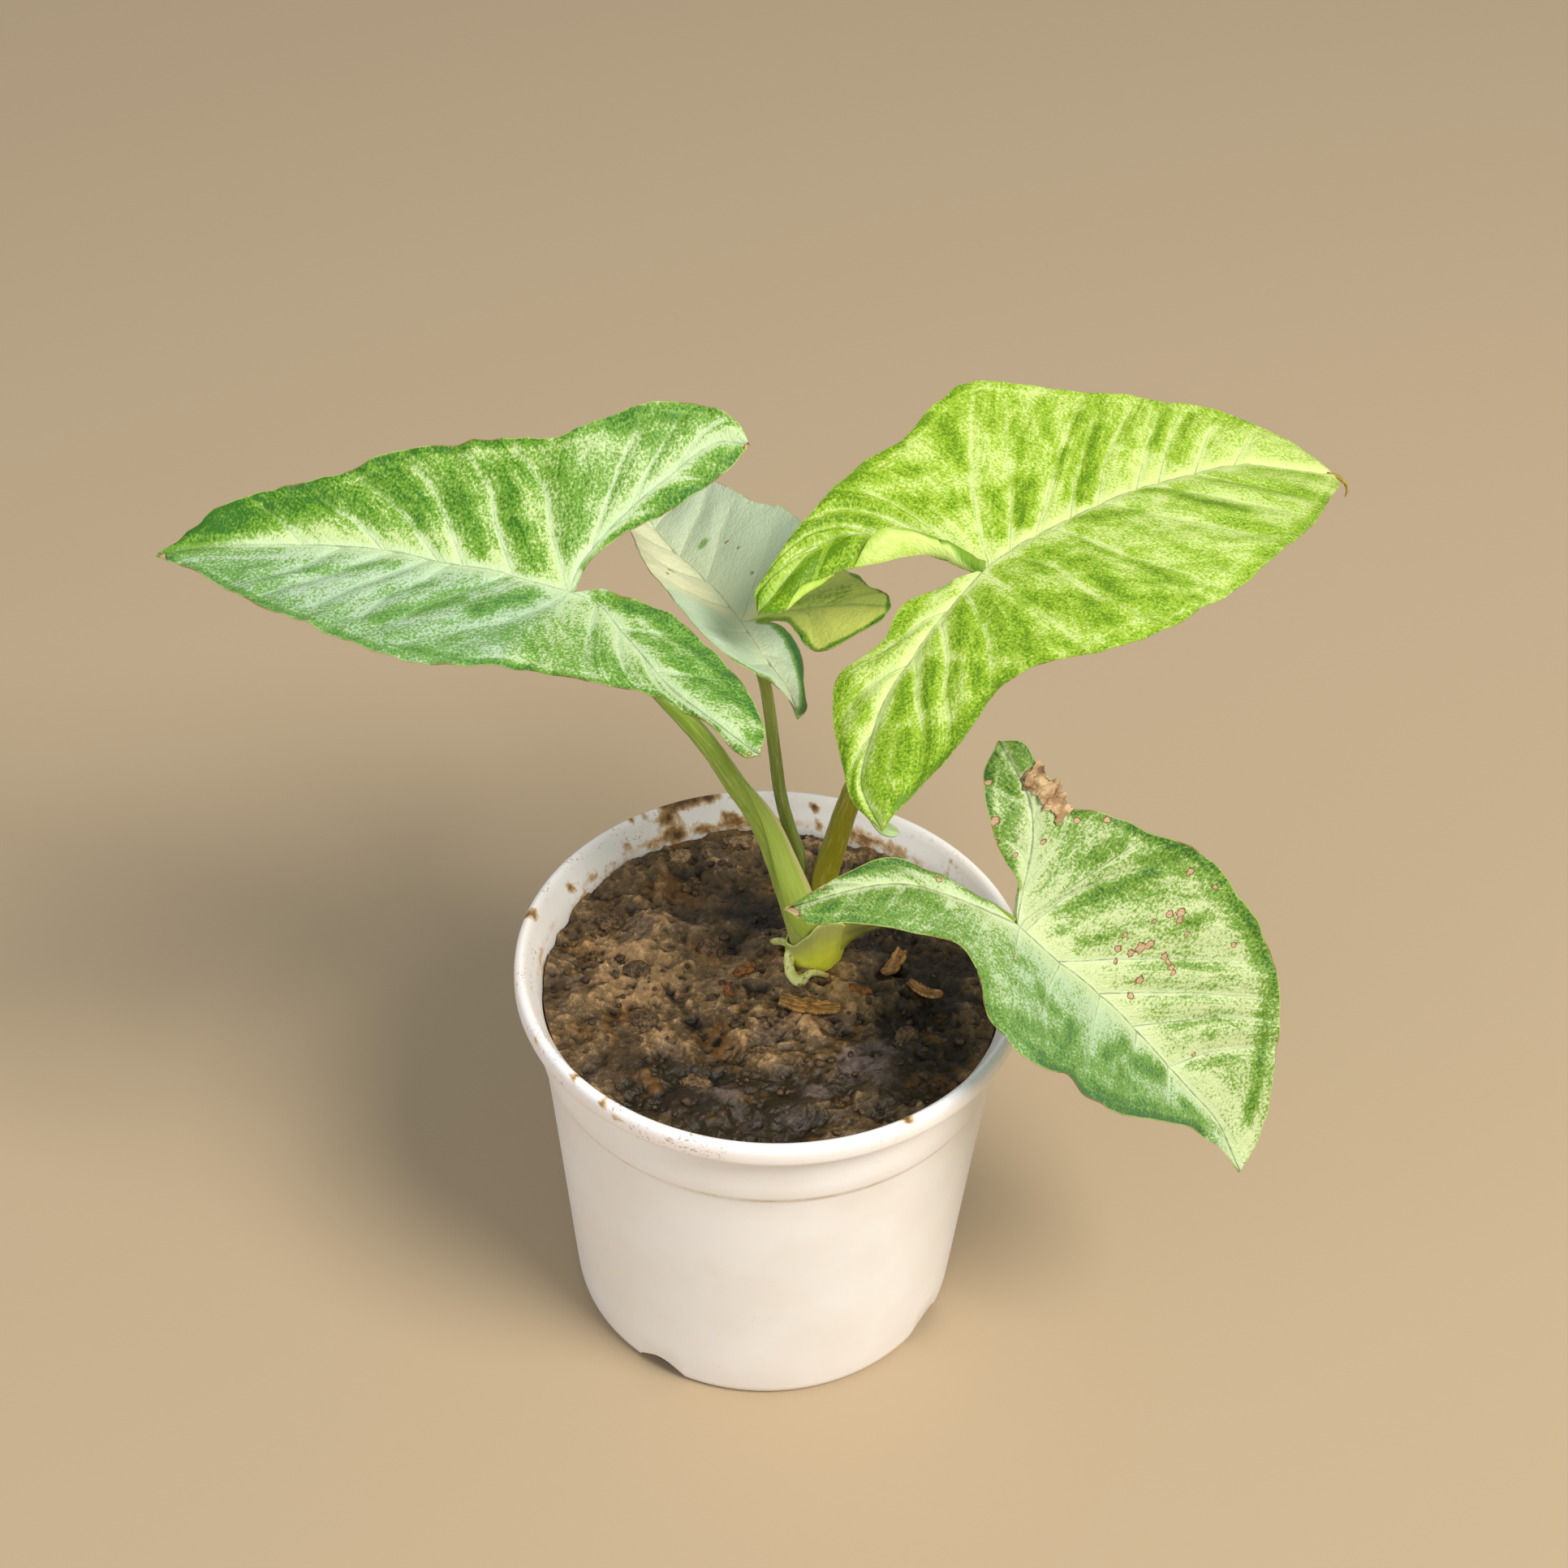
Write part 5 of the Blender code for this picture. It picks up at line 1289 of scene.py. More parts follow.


# %% [markdown]
# Every leaf shares one set of markings, in its own colours. Broad strokes and streaks along the
# veins say how green each place is, and fine noise breaks them into soft specks half a
# millimetre across. Veins, the midrib and one line just inside the margin stay pale, and a
# network of tiny veins shows as a crackle. Light is painted in too: a value above zero gives a
# half the bluish pale and flatter pattern of sky sheen and shade, a value below zero the warm
# yellow of light shining through it. The group gives a colour and a height; the shaders stay in
# each material.

# %% The markings of a variegated leaf
markings, given, gives = new_group(
    "leaf_markings",
    {"Flat": (VECTOR, None), "Rib": (FLOAT, 0), "Edge": (FLOAT, 0), "Veins": (FLOAT, 0),
     "Gap": (FLOAT, 8), "Cover": (FLOAT, 0), "Painted Light": (FLOAT, 0), "Greenness": (FLOAT, 0.2),
     "Vein Width": (FLOAT, 1.1), "Rib Width": (FLOAT, 1.6), "Line": (FLOAT, 0.5),
     "Speckle": (FLOAT, 1.0), "Contrast": (FLOAT, 1.0),
     "Pale": (COLOUR, None), "Skylit Pale": (COLOUR, None),
     "Green": (COLOUR, None), "Deep": (COLOUR, None), "Vein": (COLOUR, None),
     "Vein Line": (COLOUR, None)},
    {"Colour": COLOUR, "Height": FLOAT})
tree = markings
fine = grain(tree, given["Flat"], 1.5, 3, 0.70, flat=True)
blotch = grain(tree, given["Flat"], 0.26, 4, 0.62, flat=True)
net = add_node(tree, "ShaderNodeTexVoronoi", {"Vector": given["Flat"], "Scale": 0.62},
               voronoi_dimensions="2D", feature="DISTANCE_TO_EDGE").outputs["Distance"]
beside = add_node(tree, "ShaderNodeCombineXYZ", {
    0: times(tree, given["Veins"], 7.0),
    1: times(tree, given["Rib"], 0.20)}).outputs[0]
streak = grain(tree, beside, 0.55, 4, 0.62, flat=True)
thread = grain(tree, beside, 2.3, 3, 0.6, flat=True)
rib = sums(tree, "ABSOLUTE", given["Rib"])
inward = sums(tree, "DIVIDE", given["Edge"], plus(tree, plus(
    tree, rib, given["Edge"]), 0.01))
off_vein = times(tree, sums(tree, "PINGPONG", given["Veins"], 0.5), given["Gap"])


def band(tree, distance, width):
    """One on a line, falling off smoothly over a width."""
    share = sums(tree, "DIVIDE", distance, width)
    return sums(tree, "EXPONENT", times(tree, times(
        tree, share, share), -1.0))


vein_reach = sums(tree, "MULTIPLY_ADD", inward, 0.8, 0.35)
vein_band = times(tree, band(tree, off_vein, times(
    tree, given["Vein Width"], vein_reach)), sums(tree, "POWER", inward, 0.35))
halo = times(tree, band(tree, off_vein, 2.6), sums(tree, "POWER", inward, 0.9))
rib_band = band(tree, rib, given["Rib Width"])
rib_halo = band(tree, rib, times(tree, given["Rib Width"], 3.2))
inner_line = band(tree, sums(tree, "SUBTRACT", given["Edge"], 2.3), 0.45)
paleness = sums(tree, "MAXIMUM", vein_band, rib_band)
amount = plus(tree, given["Cover"], given["Greenness"])
# the pattern is flattened where painted light tints the leaf
calm = sums(tree, "MULTIPLY_ADD", sums(tree, "ABSOLUTE", given["Painted Light"]), -0.45, 1.0)
calm = times(tree, calm, given["Contrast"])
amount = add_up(tree, streak, times(tree, calm, 1.2), amount, 0.5)
amount = add_up(tree, thread, 0.7, amount, 0.5)
amount = add_up(tree, blotch, times(tree, calm, 0.9), amount, 0.5)
amount = add_up(tree, paleness, times(tree, calm, -0.42), amount)
amount = add_up(tree, halo, times(tree, calm, -0.17), amount)
amount = add_up(tree, rib_halo, -0.28, amount)
amount = add_up(tree, inner_line, -0.18, amount)
amount = add_up(tree, band(tree, given["Edge"], 1.1), 0.18, amount)
amount = add_up(tree, fade(tree, net, 0.14, 0.0), -0.14, amount)
# fewer specks where painted light tints the leaf
lively = sums(tree, "MULTIPLY_ADD", sums(tree, "ABSOLUTE", given["Painted Light"]), -0.10, 1.0)
lively = times(tree, times(tree, lively, given["Contrast"]), given["Speckle"])
specks = times(tree, lively, sums(
    tree, "MULTIPLY_ADD", paleness, -0.8, 1.6))
amount = add_up(tree, fine, specks, amount, 0.5)
# painted light: above zero the skylit pale, a bluish tint and a grey teal paint sky sheen and shade;
# below zero a warm yellow paints light shining through the leaf
pale = mix(tree, given["Painted Light"], given["Pale"], given["Skylit Pale"])
pale = mix(tree, paleness, pale, given["Vein"])
leafy = mix(tree, fade(tree, amount, -0.02, 0.62), pale, given["Green"])
leafy = mix(tree, fade(tree, amount, 0.60, 1.25), leafy, given["Deep"])
leafy = mix(tree, given["Painted Light"], leafy, mix(tree, 1.0, leafy, (0.87, 0.96, 1.10, 1), "MULTIPLY"))
leafy = mix(tree, times(tree, given["Painted Light"], 0.20), leafy, colour(0.50, 0.64, 0.54))
leafy = mix(tree, fade(tree, given["Painted Light"], -0.1, -0.9), leafy,
            mix(tree, 1.0, leafy, (0.80, 0.87, 0.28, 1), "MULTIPLY"))
drawn = times(tree, fade(tree, off_vein, 0.26, 0.05), sums(
    tree, "POWER", inward, 0.8))
drawn = sums(tree, "MAXIMUM", drawn, fade(tree, rib, 0.34, 0.08))
drawn = times(tree, drawn, times(tree, given["Line"], fade(
    tree, blotch, 0.35, 0.6, 0.45, 1.0)))
leafy = mix(tree, drawn, leafy, given["Vein Line"])
tree.links.new(leafy, gives["Colour"])
height = plus(tree, times(tree, fine, 0.6), times(tree, thread, 0.6))
tree.links.new(add_up(tree, fade(tree, net, 0.16, 0.0), -0.30, height), gives["Height"])

# %% [markdown]
# A leaf lets light through, so its material mixes the glossy Principled shader with a little of
# the Translucent one. Blemishes, where cells have died, are papery pink brown with a darker rim.
# The underside has the same markings, paler and duller.

# %% One leaf material


def leaf_material(name, colours, greenness, speckle=1.0, vein_width=1.1, rib_width=1.6,
                  line=0.5, glow=0.22, rough=0.42, contrast=1.0, margin=0.7):
    material, tree, shader = new_material(name, Roughness=rough, IOR=1.42)
    inputs = {key: attribute(tree, layer) for key, layer in (
        ("Rib", "rib"), ("Edge", "edge"), ("Veins", "veins"), ("Gap", "gap"),
        ("Cover", "cover"), ("Painted Light", "painted_light"))}
    flat = attribute(tree, "flat", "Vector")
    marks = add_node(tree, "ShaderNodeGroup", node_tree=markings)
    for key, value in {**inputs, "Flat": flat}.items():
        tree.links.new(value, marks.inputs[key])
    for key, value in {"Greenness": greenness, "Speckle": speckle, "Contrast": contrast,
                       "Vein Width": vein_width, "Rib Width": rib_width, "Line": line}.items():
        marks.inputs[key].default_value = value
    for key, value in zip(("Pale", "Skylit Pale", "Green", "Deep", "Vein", "Vein Line"), colours):
        marks.inputs[key].default_value = colour(*value)
    spot_noise = grain(tree, flat, 0.9, 3, 0.6, flat=True)
    spot = add_up(tree, spot_noise, 0.8, attribute(tree, "spot"), 0.5)
    from_joint = add_node(tree, "ShaderNodeVectorMath", {0: flat},
                          operation="LENGTH").outputs["Value"]
    rim = times(tree, fade(tree, inputs["Edge"], 1.5, 0.6), fade(tree, from_joint, 17, 4))
    shown = coats(tree, marks.outputs["Colour"],
                  (fade(tree, spot, 0.34, 0.40), (0.55, 0.40, 0.22)),
                  (fade(tree, spot, 0.46, 0.60), (0.80, 0.68, 0.54)),
                  (rim, (0.47, 0.64, 0.14)))
    margin_tint = mix(tree, fade(tree, grain(tree, flat, 0.12, 2, 0.5, flat=True), 0.50, 0.62),
                      colour(0.74, 0.80, 0.44), colour(0.62, 0.46, 0.24))
    shown = mix(tree, fade(tree, inputs["Edge"], 0.30, 0.08, 0, margin), shown, margin_tint)
    tree.links.new(shown, shader.inputs["Base Color"])
    bump(tree, shader, plus(tree, marks.outputs["Height"], fade(
        tree, spot, 0.3, 0.5, 0, -0.8)), 0.7, 0.30)
    through = add_node(tree, "ShaderNodeBsdfTranslucent", {"Color": shown})
    blended = add_node(tree, "ShaderNodeMixShader", {
        0: glow, 1: shader.outputs[0], 2: through.outputs[0]})
    tree.links.new(blended.outputs[0], tree.nodes["Material Output"].inputs["Surface"])
    return material


# the second colour of each set is the pale painted under sky sheen and shade
WHITE_GREEN = [(0.83, 0.90, 0.59), (0.85, 0.90, 0.72), (0.47, 0.66, 0.14), (0.20, 0.44, 0.02),
               (0.86, 0.93, 0.72), (0.58, 0.66, 0.48)]
LIME = [(0.87, 0.93, 0.57), (0.86, 0.92, 0.58), (0.64, 0.78, 0.16), (0.40, 0.57, 0.01),
        (0.90, 0.95, 0.64), (0.58, 0.68, 0.40)]
CREAM = [(0.86, 0.89, 0.63), (0.82, 0.87, 0.67), (0.48, 0.63, 0.16), (0.19, 0.39, 0.02),
         (0.87, 0.92, 0.70), (0.54, 0.58, 0.44)]
CREAM_BACK = [(0.92, 0.915, 0.75), (0.74, 0.85, 0.70), (0.52, 0.66, 0.28), (0.20, 0.42, 0.12),
              (0.88, 0.91, 0.74), (0.50, 0.56, 0.44)]
UNDER_WHITE = [(0.80, 0.88, 0.68)] * 2 + [(0.60, 0.75, 0.42), (0.47, 0.65, 0.32),
                                          (0.78, 0.87, 0.62), (0.66, 0.76, 0.50)]
UNDER_LIME = [(0.86, 0.94, 0.52)] * 2 + [(0.74, 0.86, 0.32), (0.63, 0.78, 0.22),
                                         (0.84, 0.92, 0.52), (0.74, 0.84, 0.40)]

leaf_white = [leaf_material("leaf_white_green", WHITE_GREEN, 0.23, 1.45, 1.0, 1.4, 0.6),
              leaf_material("leaf_white_underside", UNDER_WHITE, 0.1, 0.5, rough=0.6)]
leaf_lime = [leaf_material("leaf_lime", LIME, 0.33, 1.45, 0.75, 1.2, 0.7, glow=0.28, margin=0.3),
             leaf_material("leaf_lime_underside", UNDER_LIME, 0.1, 0.4, rough=0.6, margin=0.2)]
leaf_cream = [leaf_material("leaf_cream", CREAM, 0.15, 1.35, 0.7, 1.0, 0.9),
              leaf_material("leaf_cream_underside", UNDER_WHITE, 0.1, 0.5, rough=0.6)]
leaf_back = [leaf_material("leaf_cream_young", CREAM_BACK, -0.35, 1.3, 0.9, 1.2, 0.5,
                           contrast=0.45),
             leaf_material("leaf_cream_young_underside", UNDER_WHITE, -0.2, 0.4, rough=0.6)]

# %% [markdown]
# With the outlines, the strokes and the colours in hand, the four leaves come out of one loop.

# %% The four leaves
for name, piece_name, slot, finish in (
        ("leaf_blade_left", "left_leaf", "leaf_white_green", leaf_white),
        ("leaf_blade_right", "right_leaf", "leaf_lime", leaf_lime),
        ("leaf_blade_front", "front_leaf", "leaf_cream", leaf_cream),
        ("leaf_blade_back", "back_leaf", "leaf_cream", leaf_back)):
    build_leaf(name, BLADES[name], piece_name, slot, finish)

# %% [markdown]
# ## Round stems
# Stalks, the crown, roots and a dry thread are all round tubes that narrow along their way, so
# one helper makes them: rings of points along a smooth route, closed at both ends.

# %% Tubes along a route


def tube(name, route, radii, rows, sides, groove=0.0, knobs=0.0, seed=0.0):
    """Rings round a route in millimetres; groove presses a channel along the upper side."""
    line = smooth_line([(*place, radius) for place, radius in zip(route, radii)], rows)
    centre, radius = line[:, :3], line[:, 3]
    way = np.gradient(centre, axis=0)
    way /= np.linalg.norm(way, axis=1, keepdims=True)
    side = np.cross(way, (0.13, 0.97, 0.2))
    side /= np.linalg.norm(side, axis=1, keepdims=True)
    top = np.cross(way, side)
    turn = np.linspace(0, 2 * math.pi, sides + 1)
    ring = np.cos(turn)[:, None] * side[:, None] + np.sin(turn)[:, None] * top[:, None]
    off_top = np.abs((turn - math.pi / 2 + math.pi) % (2 * math.pi) - math.pi)
    reach = radius[:, None] * (1 - groove * np.exp(-(off_top / 0.45) ** 2))
    reach = reach * (1 + knobs * noise_at(centre[:, None] + 3 * ring, 3.0, 3, seed))
    travelled = np.concatenate([[0], np.cumsum(np.linalg.norm(np.diff(centre, axis=0), axis=1))])
    travel = np.repeat((travelled / travelled[-1])[:, None], sides + 1, axis=1)
    fibre = np.concatenate([ring[..., :1] * 0 + (np.cos(turn) * radius[:, None])[..., None],
                            (np.sin(turn) * radius[:, None])[..., None],
                            travelled[:, None, None] + 0 * ring[..., :1]], axis=2)
    points = centre[:, None] + reach[..., None] * ring
    stem = grid_sheet(name, points, travel=travel, fibre=fibre)
    weld(stem, 0.004)
    pick(stem)
    bpy.ops.object.mode_set(mode="EDIT")
    bpy.ops.mesh.select_all(action="DESELECT")
    bpy.ops.mesh.select_non_manifold()
    bpy.ops.mesh.fill_holes(sides=0)
    bpy.ops.object.mode_set(mode="OBJECT")
    stem.data.shade_smooth()
    return stem


# %% [markdown]
# ## Stalks and crown
# Every stalk leaves the crown wide, because its foot clasps the one inside it, then narrows up
# to its blade. A stalk is greener up high, paler and yellower near the soil, and finely streaked
# along its fibres.

# %% The stalk finish
stem_marks, given, gives = new_group(
    "stem_markings",
    {"Fibre": (VECTOR, None), "Travel": (FLOAT, 0), "Foot": (COLOUR, None),
     "Middle": (COLOUR, None), "Top": (COLOUR, None), "Streak": (FLOAT, 0.5)},
    {"Colour": COLOUR, "Height": FLOAT})
tree = stem_marks
streaks = grain(tree, stretched(tree, given["Fibre"], (1.0, 1.0, 0.07)), 1.3, 4, 0.65)
clouds = grain(tree, stretched(tree, given["Fibre"], (1.0, 1.0, 0.5)), 0.35, 3, 0.6)
dots = grain(tree, given["Fibre"], 2.6, 2, 0.5)
shown = mix(tree, fade(tree, given["Travel"], 0.0, 0.30), given["Foot"], given["Middle"])
shown = mix(tree, fade(tree, given["Travel"], 0.35, 0.95), shown, given["Top"])
lighter = mix(tree, 0.55, shown, colour(0.92, 0.93, 0.66))
darker = mix(tree, 0.45, shown, colour(0.25, 0.36, 0.06))
shown = mix(tree, times(tree, fade(tree, streaks, 0.50, 0.68), given["Streak"]),
            shown, lighter)
shown = mix(tree, times(tree, fade(tree, streaks, 0.48, 0.34), given["Streak"]),
            shown, darker)
shown = mix(tree, times(tree, fade(tree, clouds, 0.55, 0.75), times(
    tree, given["Streak"], 0.8)), shown, darker)
shown = mix(tree, fade(tree, dots, 0.68, 0.74, 0, 0.5), shown, lighter)
tree.links.new(shown, gives["Colour"])
tree.links.new(plus(tree, streaks, times(tree, dots, 0.2)), gives["Height"])


def stalk_material(name, foot, middle, top, streak=0.5, rough=0.40, glow=0.10):
    material, tree, shader = new_material(name, Roughness=rough, IOR=1.42,
                                          Subsurface_Weight=glow, Subsurface_Scale=1.5 * MM)
    marks = add_node(tree, "ShaderNodeGroup", node_tree=stem_marks)
    fibre = attribute(tree, "fibre", "Vector")
    tree.links.new(fibre, marks.inputs["Fibre"])
    tree.links.new(attribute(tree, "travel"), marks.inputs["Travel"])
    for key, value in (("Foot", foot), ("Middle", middle), ("Top", top)):
        marks.inputs[key].default_value = colour(*value)
    marks.inputs["Streak"].default_value = streak
    tree.links.new(marks.outputs["Colour"], shader.inputs["Base Color"])
    bump(tree, shader, marks.outputs["Height"], 0.5, 0.25)
    return material


stalk_green = stalk_material("stalk_green", (0.72, 0.75, 0.36), (0.60, 0.68, 0.28),
                             (0.46, 0.63, 0.14))
stalk_olive = stalk_material("stalk_olive", (0.58, 0.55, 0.07), (0.50, 0.48, 0.08),
                             (0.50, 0.57, 0.22), 0.3)
stalk_back = stalk_material("stalk_olive_thin", (0.50, 0.56, 0.24), (0.47, 0.53, 0.22),
                            (0.52, 0.56, 0.24), 0.4)
crown_green = stalk_material("crown_green", (0.88, 0.88, 0.34), (0.84, 0.86, 0.28),
                             (0.80, 0.84, 0.28), 0.2)
stalk_front = stalk_material("stalk_front", (0.88, 0.88, 0.28), (0.54, 0.54, 0.26),
                             (0.50, 0.60, 0.20), 0.3)

# %% [markdown]
# The routes follow the plain stalks' own, carried on at both ends: down into the crown, and up
# to just under the blade's joint. Each row below gives a piece, the node it stands for, its slot,
# finish and blade, how deep its upper side is grooved, and its route and radii.

# %% Four stalks


def joint_end(blade, drop):
    """The point that lies a drop in millimetres under a blade's joint."""
    leaf = BLADES[blade]
    return tuple(np.array(leaf["joint"]) - sheet_frame(leaf)[2] * drop)


STALKS = (
    ("left_stalk", "petiole_left", "stalk_green", stalk_green, "leaf_blade_left", 0.10,
     [(9.4, 8.8, 101.0), (7.9, 7.6, 106.5), (6.4, 7.2, 112), (4.2, 7.3, 119.5),
      (0.4, 6.8, 132.7), (-4.0, 6.0, 146.1), (-9.9, 5.0, 158.0), (-18.0, 4.0, 173.2),
      (-33.0, 2.0, 195.0)],
     [4.2, 3.8, 3.5, 3.2, 2.8, 2.6, 2.5, 2.3, 2.1, 1.6]),
    ("right_stalk", "petiole_right", "stalk_olive", stalk_olive, "leaf_blade_right", 0.12,
     [(10.6, 10.8, 101.5), (11.4, 12.2, 108), (11.6, 11.7, 116), (12.3, 10.2, 126),
      (14.4, 9.0, 138.0), (17.2, 8.0, 151.6), (24.5, 6.0, 178.0), (34.0, 3.0, 205.0)],
     [4.2, 3.7, 3.4, 3.2, 2.9, 2.7, 2.4, 2.2, 1.8]),
    ("back_stalk", "petiole_back", "stalk_olive", stalk_back, "leaf_blade_back", 0.10,
     [(6.6, 12.0, 102.0), (5.3, 13.2, 110), (5.6, 13.0, 119), (6.0, 12.4, 127.6),
      (2.8, 12.6, 139.4), (0.6, 13.4, 149.0), (-1.0, 14.6, 161.0), (-4.0, 17.0, 180.0)],
     [2.6, 2.0, 1.8, 1.7, 1.6, 1.55, 1.5, 1.4, 1.5]),
    ("front_stalk", "petiole_front", "crown_green", stalk_front, "leaf_blade_front", 0.14,
     [(9.8, 9.2, 99.4), (12.6, 9.2, 103.6), (16.2, 8.7, 108.2), (20.5, 7.0, 112.8),
      (25.8, 2.8, 119.2), (37.7, -6.0, 131.5), (47.5, -13.0, 138.4)],
     [5.3, 4.7, 3.9, 3.2, 2.7, 2.3, 2.1, 1.9]))

for name, node, slot, finish, blade, groove, route, radii in STALKS:
    route = route + [joint_end(blade, 2.1)]
    stem = tube(name, route, radii, 150, 40, groove, 0.035, len(route))
    hand_over(stem, slot, [finish], [node])

# %% [markdown]
# The crown is a stub of old stem, ringed by scars of shed leaves. It is a turned form too, but
# too uneven for a lathe, so it takes a lumpy tube.

# %% The crown
SCAR_DEPTH, SCARS_PER_MM = 0.008, 2.4
crown = tube("crown", [(9.9, 9.3, 90.5), (9.9, 9.3, 95.0), (9.8, 9.0, 98.2), (9.7, 8.9, 100.5),
                       (9.8, 9.2, 103.5), (9.9, 9.6, 106.4)],
             [4.4, 5.1, 5.6, 5.7, 5.3, 4.2], 70, 56, 0.0, 0.06, 4.0)
for corner in crown.data.vertices:
    x, y, z = (np.array(corner.co) - pot_foot) / MM
    off_x, off_y = x - CROWN[0], y - CROWN[1]
    ring = SCAR_DEPTH * math.sin(SCARS_PER_MM * z + 0.25 * math.sin(2 * math.atan2(off_y, off_x)))
    corner.co.x += ring * off_x * MM
    corner.co.y += ring * off_y * MM
hand_over(crown, "crown_green", [crown_green], ["crown_stem"])

# %% [markdown]
# A thin membrane clasps the left stalk. Its free edge stands off to the right and has dried to
# a pale pinkish brown line, which the material finds by a value on the mesh.

# %% The clasping membrane
SHEATH_ROWS, SHEATH_COLUMNS = 90, 36
FREE_RIM_TURN, FULL_WRAP = 22, 140
left_route, left_radii = STALKS[0][6][:7], STALKS[0][7][:7]
line = smooth_line([(*place, radius) for place, radius in zip(left_route, left_radii)],
                   SHEATH_ROWS)
rows, rims = [], []
for k, (x, y, z, radius) in enumerate(line):
    share = k / (SHEATH_ROWS - 1)
    lasting = (1 - share ** 2.6) * min(1, share * 4)
    wrap = FULL_WRAP * (0.30 + 0.70 * lasting)
    turns = np.radians(np.linspace(FREE_RIM_TURN - wrap, FREE_RIM_TURN, SHEATH_COLUMNS + 1))
    out = np.linspace(0, 1, SHEATH_COLUMNS + 1)
    wave = 0.25 * math.sin(9 * share) * out ** 2
    reach = radius + 0.12 + (2.5 * out ** 2.2 + wave) * lasting
    rows.append(np.stack([x + reach * np.cos(turns), y + reach * np.sin(turns),
                          z + 0 * turns], axis=1))
    rims.append(out)
rows, rims = np.array(rows), np.array(rims)
travel = np.repeat(np.linspace(0.05, 0.5, SHEATH_ROWS)[:, None], SHEATH_COLUMNS + 1, axis=1)
sheath = grid_sheet("left_stalk_sheath", rows, travel=travel, rim=rims,
                    fibre=np.stack([3 * np.cos(6 * rims), 3 * np.sin(6 * rims),
                                    rows[..., 2]], axis=-1))
thicken(sheath, 0.42)
sheath.data.shade_smooth()


def dry_rim(material, start, end, tint):
    """Tint a sheath's free edge, where its rim value passes from start to end."""
    tree = material.node_tree
    shader = tree.nodes["Principled BSDF"]
    under_rim = shader.inputs["Base Color"].links[0].from_socket
    uneven = times(tree, grain(tree, object_mm(tree), 0.5, 3), 0.10)
    dry = fade(tree, plus(tree, attribute(tree, "rim"), uneven), start, end)
    tinted = mix(tree, times(tree, dry, 0.85), under_rim, colour(*tint))
    tree.links.new(tinted, shader.inputs["Base Color"])


sheath_green = stalk_material("sheath_green", (0.66, 0.71, 0.22), (0.65, 0.73, 0.31),
                              (0.58, 0.68, 0.30), 0.25)
dry_rim(sheath_green, 0.76, 0.96, (0.84, 0.79, 0.55))
hand_over(sheath, "stalk_green", [sheath_green], ["sheath_left"])

# %% [markdown]
# The front stalk's foot clasps the whole crown. Its sheet runs round the front, low on the left
# and rising to the right, and its free edge shows as a pale line across the left stalk.

# %% The clasping foot
CLASP_ROWS, CLASP_COLUMNS = 41, 91
CLASP_MIDDLE, CLASP_RADIUS, CLASP_FOOT = np.array([9.8, 8.9]), 5.9, 96.0
rim = smooth_line([(3.9, 11.3, 104.5), (3.4, 6.4, 106.3), (4.6, 4.3, 107.1), (5.8, 3.2, 108.5),
                   (7.5, 2.8, 110.7), (9.1, 2.6, 112.8), (10.8, 2.8, 115.2), (13.5, 3.6, 116.2),
                   (16.5, 4.9, 114.6), (18.6, 6.6, 111.2)], CLASP_COLUMNS)
outward = rim[:, :2] - CLASP_MIDDLE
outward /= np.linalg.norm(outward, axis=1, keepdims=True)
foot = np.column_stack([CLASP_MIDDLE + CLASP_RADIUS * outward, CLASP_FOOT + 0 * rim[:, 2]])
share = np.linspace(0, 1, CLASP_ROWS)[:, None]
rows = foot * (1 - share[..., None]) + rim * share[..., None]
rows[..., :2] += 0.3 * np.sin(math.pi * share)[..., None] * outward
rows += 0.14 * noise_at(rows, 3.0, 2)[..., None] * np.array([0, 1, 0])
turns = np.arctan2(outward[:, 1], outward[:, 0]) + 0 * share
clasp = grid_sheet("crown_clasp", rows, travel=share + 0 * turns, rim=share + 0 * turns,
                   fibre=np.stack([6 * np.cos(turns), 6 * np.sin(turns), rows[..., 2]], axis=-1))
thicken(clasp, 0.5)
clasp.data.shade_smooth()
clasp_green = stalk_material("clasp_green", (1.0, 0.99, 0.26), (0.92, 0.93, 0.28),
                             (0.70, 0.70, 0.38), 0.12)
dry_rim(clasp_green, 0.98, 1.05, (0.84, 0.84, 0.50))
hand_over(clasp, "crown_green", [clasp_green])

# %% [markdown]
# The right stalk's own sheath ends in a free green tongue, bent out to the side, that shows
# under the lime leaf's lobe.

# %% The tongue
TONGUE_ROWS, TONGUE_COLUMNS = 40, 18
spine = smooth_line([(17.5, 8.0, 153.5), (19.6, 8.2, 151.5), (22.2, 8.4, 146.9),
                     (24.6, 8.4, 143.4), (27.0, 8.4, 141.9), (29.2, 8.4, 141.3)], TONGUE_ROWS)
share = np.linspace(0, 1, TONGUE_ROWS)[:, None]
half = 0.5 * (2.2 + 2.0 * share) * np.sqrt(np.clip(1 - share ** 6, 0, 1))
out = np.linspace(-1, 1, TONGUE_COLUMNS + 1)[None, :]
across = np.array([0.05, 0.66, 0.75])
rows = (spine[:, None] + (half * out)[..., None] * across
        + (0.16 * (half * out) ** 2)[..., None] * np.array([0.0, -0.7, 0.6]))
tongue = grid_sheet("right_stalk_tongue", rows, travel=0.5 + 0.5 * share + 0 * out,
                    rim=np.abs(out) + 0 * share,
                    fibre=np.stack([out * half, 0 * out * half, rows[..., 2]], axis=-1))
weld(tongue, 0.004)
thicken(tongue, 0.45)
tongue.data.shade_smooth()
tongue_green = stalk_material("tongue_green", (0.56, 0.66, 0.30), (0.58, 0.68, 0.38),
                              (0.64, 0.74, 0.48), 0.4)
hand_over(tongue, "stalk_green", [tongue_green], ["sheath_tip_right"])

